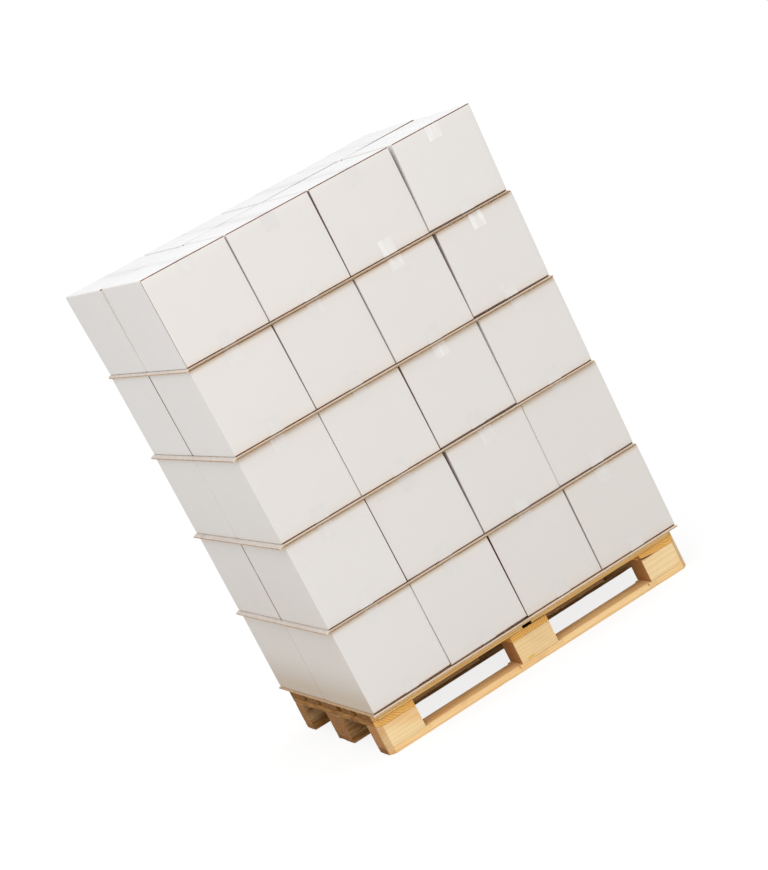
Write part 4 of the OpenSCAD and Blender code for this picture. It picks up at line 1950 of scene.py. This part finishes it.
@dataclass
class Studio:
    """Pale floor, soft light and the camera at the photograph's viewing angle."""

    floor_size: float = 60.0
    sky: float = 0.98
    sky_low: Colour = (1.0, 0.985, 0.97, 1.0)
    sky_high: Colour = (0.95, 0.985, 1.04, 1.0)
    lamp: float = 60.0
    lamp_colour: tuple[float, float, float] = (1.0, 0.9, 0.8)
    lamp_width: float = 2.6
    lamp_at: tuple[float, float, float] = (-1.6, -3.75, 4.55)
    lamp_to: tuple[float, float, float] = (0.0, -0.3, 0.9)
    camera_at: tuple[float, float, float] = (-2.5256, -7.3197, 2.2199)
    azimuth: float = 19.02
    look_down: float = 10.25
    roll: float = -27.0
    focal_pixels: float = 2378.6
    image: tuple[int, int] = (768, 870)
    sensor: float = 36.0

    def build(self, floor: bpy.types.Material) -> None:
        """Builds the stage.

        Args:
            floor: Finish of the floor.
        """
        self.lay_floor(floor)
        self.light()
        self.aim()

    def lay_floor(self, material: bpy.types.Material) -> None:
        """Lays the floor under the pallet.

        Args:
            material: Finish of the floor.
        """
        half = self.floor_size / 2
        corners = [(-half, -half, 0), (half, -half, 0), (half, half, 0), (-half, half, 0)]
        mesh = bpy.data.meshes.new("floor_mesh")
        mesh.from_pydata(corners, [], [(0, 1, 2, 3)])
        mesh.materials.append(material)
        floor = bpy.data.objects.new("floor", mesh)
        bpy.context.scene.collection.objects.link(floor)

    def light(self) -> None:
        """Sets an even pale sky and one broad lamp from above and in front."""
        world = bpy.data.worlds.new("pale_sky")
        world.use_nodes = True
        world.node_tree.nodes.clear()
        graph = Graph(world.node_tree)
        seen = graph.seen()
        strength = graph.plus(self.sky, graph.times(seen, 1.0 - self.sky))
        height = graph.part(graph.coordinates("Generated"), "Z")
        colour = graph.mix(graph.band(height, 0.0, 0.9), self.sky_low, self.sky_high)
        colour = graph.mix(seen, colour, WHITE)
        sky = graph.add("ShaderNodeBackground", {"Color": colour, "Strength": strength})
        graph.add("ShaderNodeOutputWorld", {"Surface": sky.outputs[0]})
        bpy.context.scene.world = world
        lamp = bpy.data.lights.new("broad_lamp", "AREA")
        lamp.shape = "DISK"
        lamp.size = self.lamp_width
        lamp.energy = self.lamp
        lamp.color = self.lamp_colour
        holder = bpy.data.objects.new("broad_lamp", lamp)
        holder.location = self.lamp_at
        back = Vector(self.lamp_at) - Vector(self.lamp_to)
        holder.rotation_euler = back.to_track_quat("Z", "Y").to_euler()
        holder.visible_camera = False
        bpy.context.scene.collection.objects.link(holder)

    def aim(self) -> None:
        """Places the camera with the photograph's direction, roll and angle of view."""
        around, down, roll = (math.radians(a) for a in (self.azimuth, self.look_down, self.roll))
        level = Vector((math.sin(around), math.cos(around), 0))
        ahead = level * math.cos(down) - Vector((0, 0, math.sin(down)))
        right = ahead.cross(Vector((0, 0, 1))).normalized()
        up = right.cross(ahead)
        rolled_right = right * math.cos(roll) + up * math.sin(roll)
        rolled_up = up * math.cos(roll) - right * math.sin(roll)
        turn = Matrix((rolled_right, rolled_up, -ahead)).transposed().to_4x4()
        lens = bpy.data.cameras.new("camera")
        lens.sensor_fit = "AUTO"
        lens.sensor_width = self.sensor
        lens.lens = self.focal_pixels * self.sensor / max(self.image)
        camera = bpy.data.objects.new("camera", lens)
        camera.matrix_world = Matrix.Translation(self.camera_at) @ turn
        bpy.context.scene.collection.objects.link(camera)
        bpy.context.scene.camera = camera


def notch_box(reach: float = 0.06, clear: float = 0.004, spare: float = 0.006) -> tuple[Vector, Vector]:
    """Finds the notch that is broken out of the front deck board's lower edge.

    Args:
        reach: How far behind the board's front the notch may end.
        clear: How far behind the board's front its back wall begins.
        spare: Room under and before the notch.

    Returns:
        The lowest and highest corner of the notch.
    """
    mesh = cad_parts["deck_boards"].data
    low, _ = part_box("deck_boards")
    spots = [mesh.vertices[i].co for face in mesh.polygons if face.normal.y < -0.9
             and low.y + clear < face.center.y < low.y + reach for i in face.vertices]
    sides, depths = [spot.x for spot in spots], [spot.y for spot in spots]
    height = 2 * max(spot.z for spot in spots) - low.z
    nearest = Vector((min(sides), low.y + clear / 2, low.z - spare))
    return nearest, Vector((max(sides), max(depths) + spare, height))


def build_pallet(effects: Effects) -> None:
    """Builds the wooden pallet with its nails and staple.

    Args:
        effects: Shared node groups.
    """
    # The notch's box is painted dark in the deck and cross board wood, as its shadow.
    notch = notch_box()
    deck_wood = Softwood("deck_board_wood", early=tone(250, 212, 140), late=tone(216, 158, 82),
                         end=tone(158, 110, 56), dirt=0.12, ring_share=0.5, shadowed_hollow=notch).make(effects)
    cross_wood = Softwood("cross_board_wood", early=tone(238, 190, 114), late=tone(206, 140, 62),
                          end=tone(255, 204, 114), dirt=0.12, shadowed_hollow=notch).make(effects)
    block_wood = Softwood("block_wood", early=tone(253, 228, 178), late=tone(234, 190, 124),
                          end=tone(172, 116, 56), dirt=0.08, ring_spacing=0.011,
                          ring_share=0.3).make(effects)
    runner_wood = Softwood("bottom_board_wood", early=tone(254, 222, 166), late=tone(240, 184, 112),
                           end=tone(190, 134, 70), dirt=0.2, ring_share=0.4).make(effects)
    Timber("bottom_boards", Slot.RUNNER, Axis.X, seed=11, rough=0.0003).build(runner_wood)
    # How much darker each row of blocks is made on the pallet's end faces.
    end_darkenings = {Skid.FRONT: 0.24, Skid.MIDDLE: 0.68, Skid.BACK: 0.68}
    for seed, (skid, end_darkening) in enumerate(end_darkenings.items(), start=24):
        Timber(skid.value, Slot.BLOCK, Axis.X, seed, along_step=0.02, end_darkening=end_darkening).build(block_wood)
    Timber("cross_boards", Slot.BOARD, Axis.Y, seed=31).build(cross_wood)
    Timber("deck_boards", Slot.BOARD, Axis.X, seed=41).build(deck_wood)
    Nails().build(NailTree(Wire("nail_wire", tone(150, 146, 140)).make()))
    Staple().build(Wire("staple_wire", tone(224, 188, 66), tone(190, 150, 60)).make())


def main() -> None:
    """Builds the pallet, the sheets, the cartons and the studio in order."""
    logging.basicConfig(level=logging.INFO, format="%(name)s: %(message)s")
    bpy.context.scene.view_settings.view_transform = "Standard"
    effects = Effects(wood_figure_group(), paper_group(), scuff_group())
    build_pallet(effects)
    cut = tone(250, 224, 190)
    under = SheetBoard("sheet_under_liner", tone(216, 182, 140), tone(206, 168, 124), tone(190, 150, 108),
                       cut).make(effects)
    flute = SheetBoard("sheet_flute", tone(214, 194, 172), tone(202, 178, 152), tone(184, 154, 122),
                       tone(242, 212, 176)).make(effects)
    plain = SheetBoard("sheet_brown_liner", tone(212, 184, 152), tone(202, 170, 134), tone(188, 154, 118),
                       cut).make(effects)
    pale = SheetBoard("sheet_pale_liner", tone(216, 208, 200), tone(209, 198, 188), tone(200, 186, 172),
                      cut).make(effects)
    lowest = FlutedBoardTree(under, plain, flute)
    others = FlutedBoardTree(under, pale, flute)
    stack = CartonStack()
    for layer in range(1, stack.layers + 1):
        SlipSheet(layer).build(lowest if layer == 1 else others)
    stack.build(WhiteBoard().make(effects), RawEdge().make(effects), ClearTape().make(effects))
    Studio().build(PaleFloor().make())


if __name__ == "__main__":
    main()
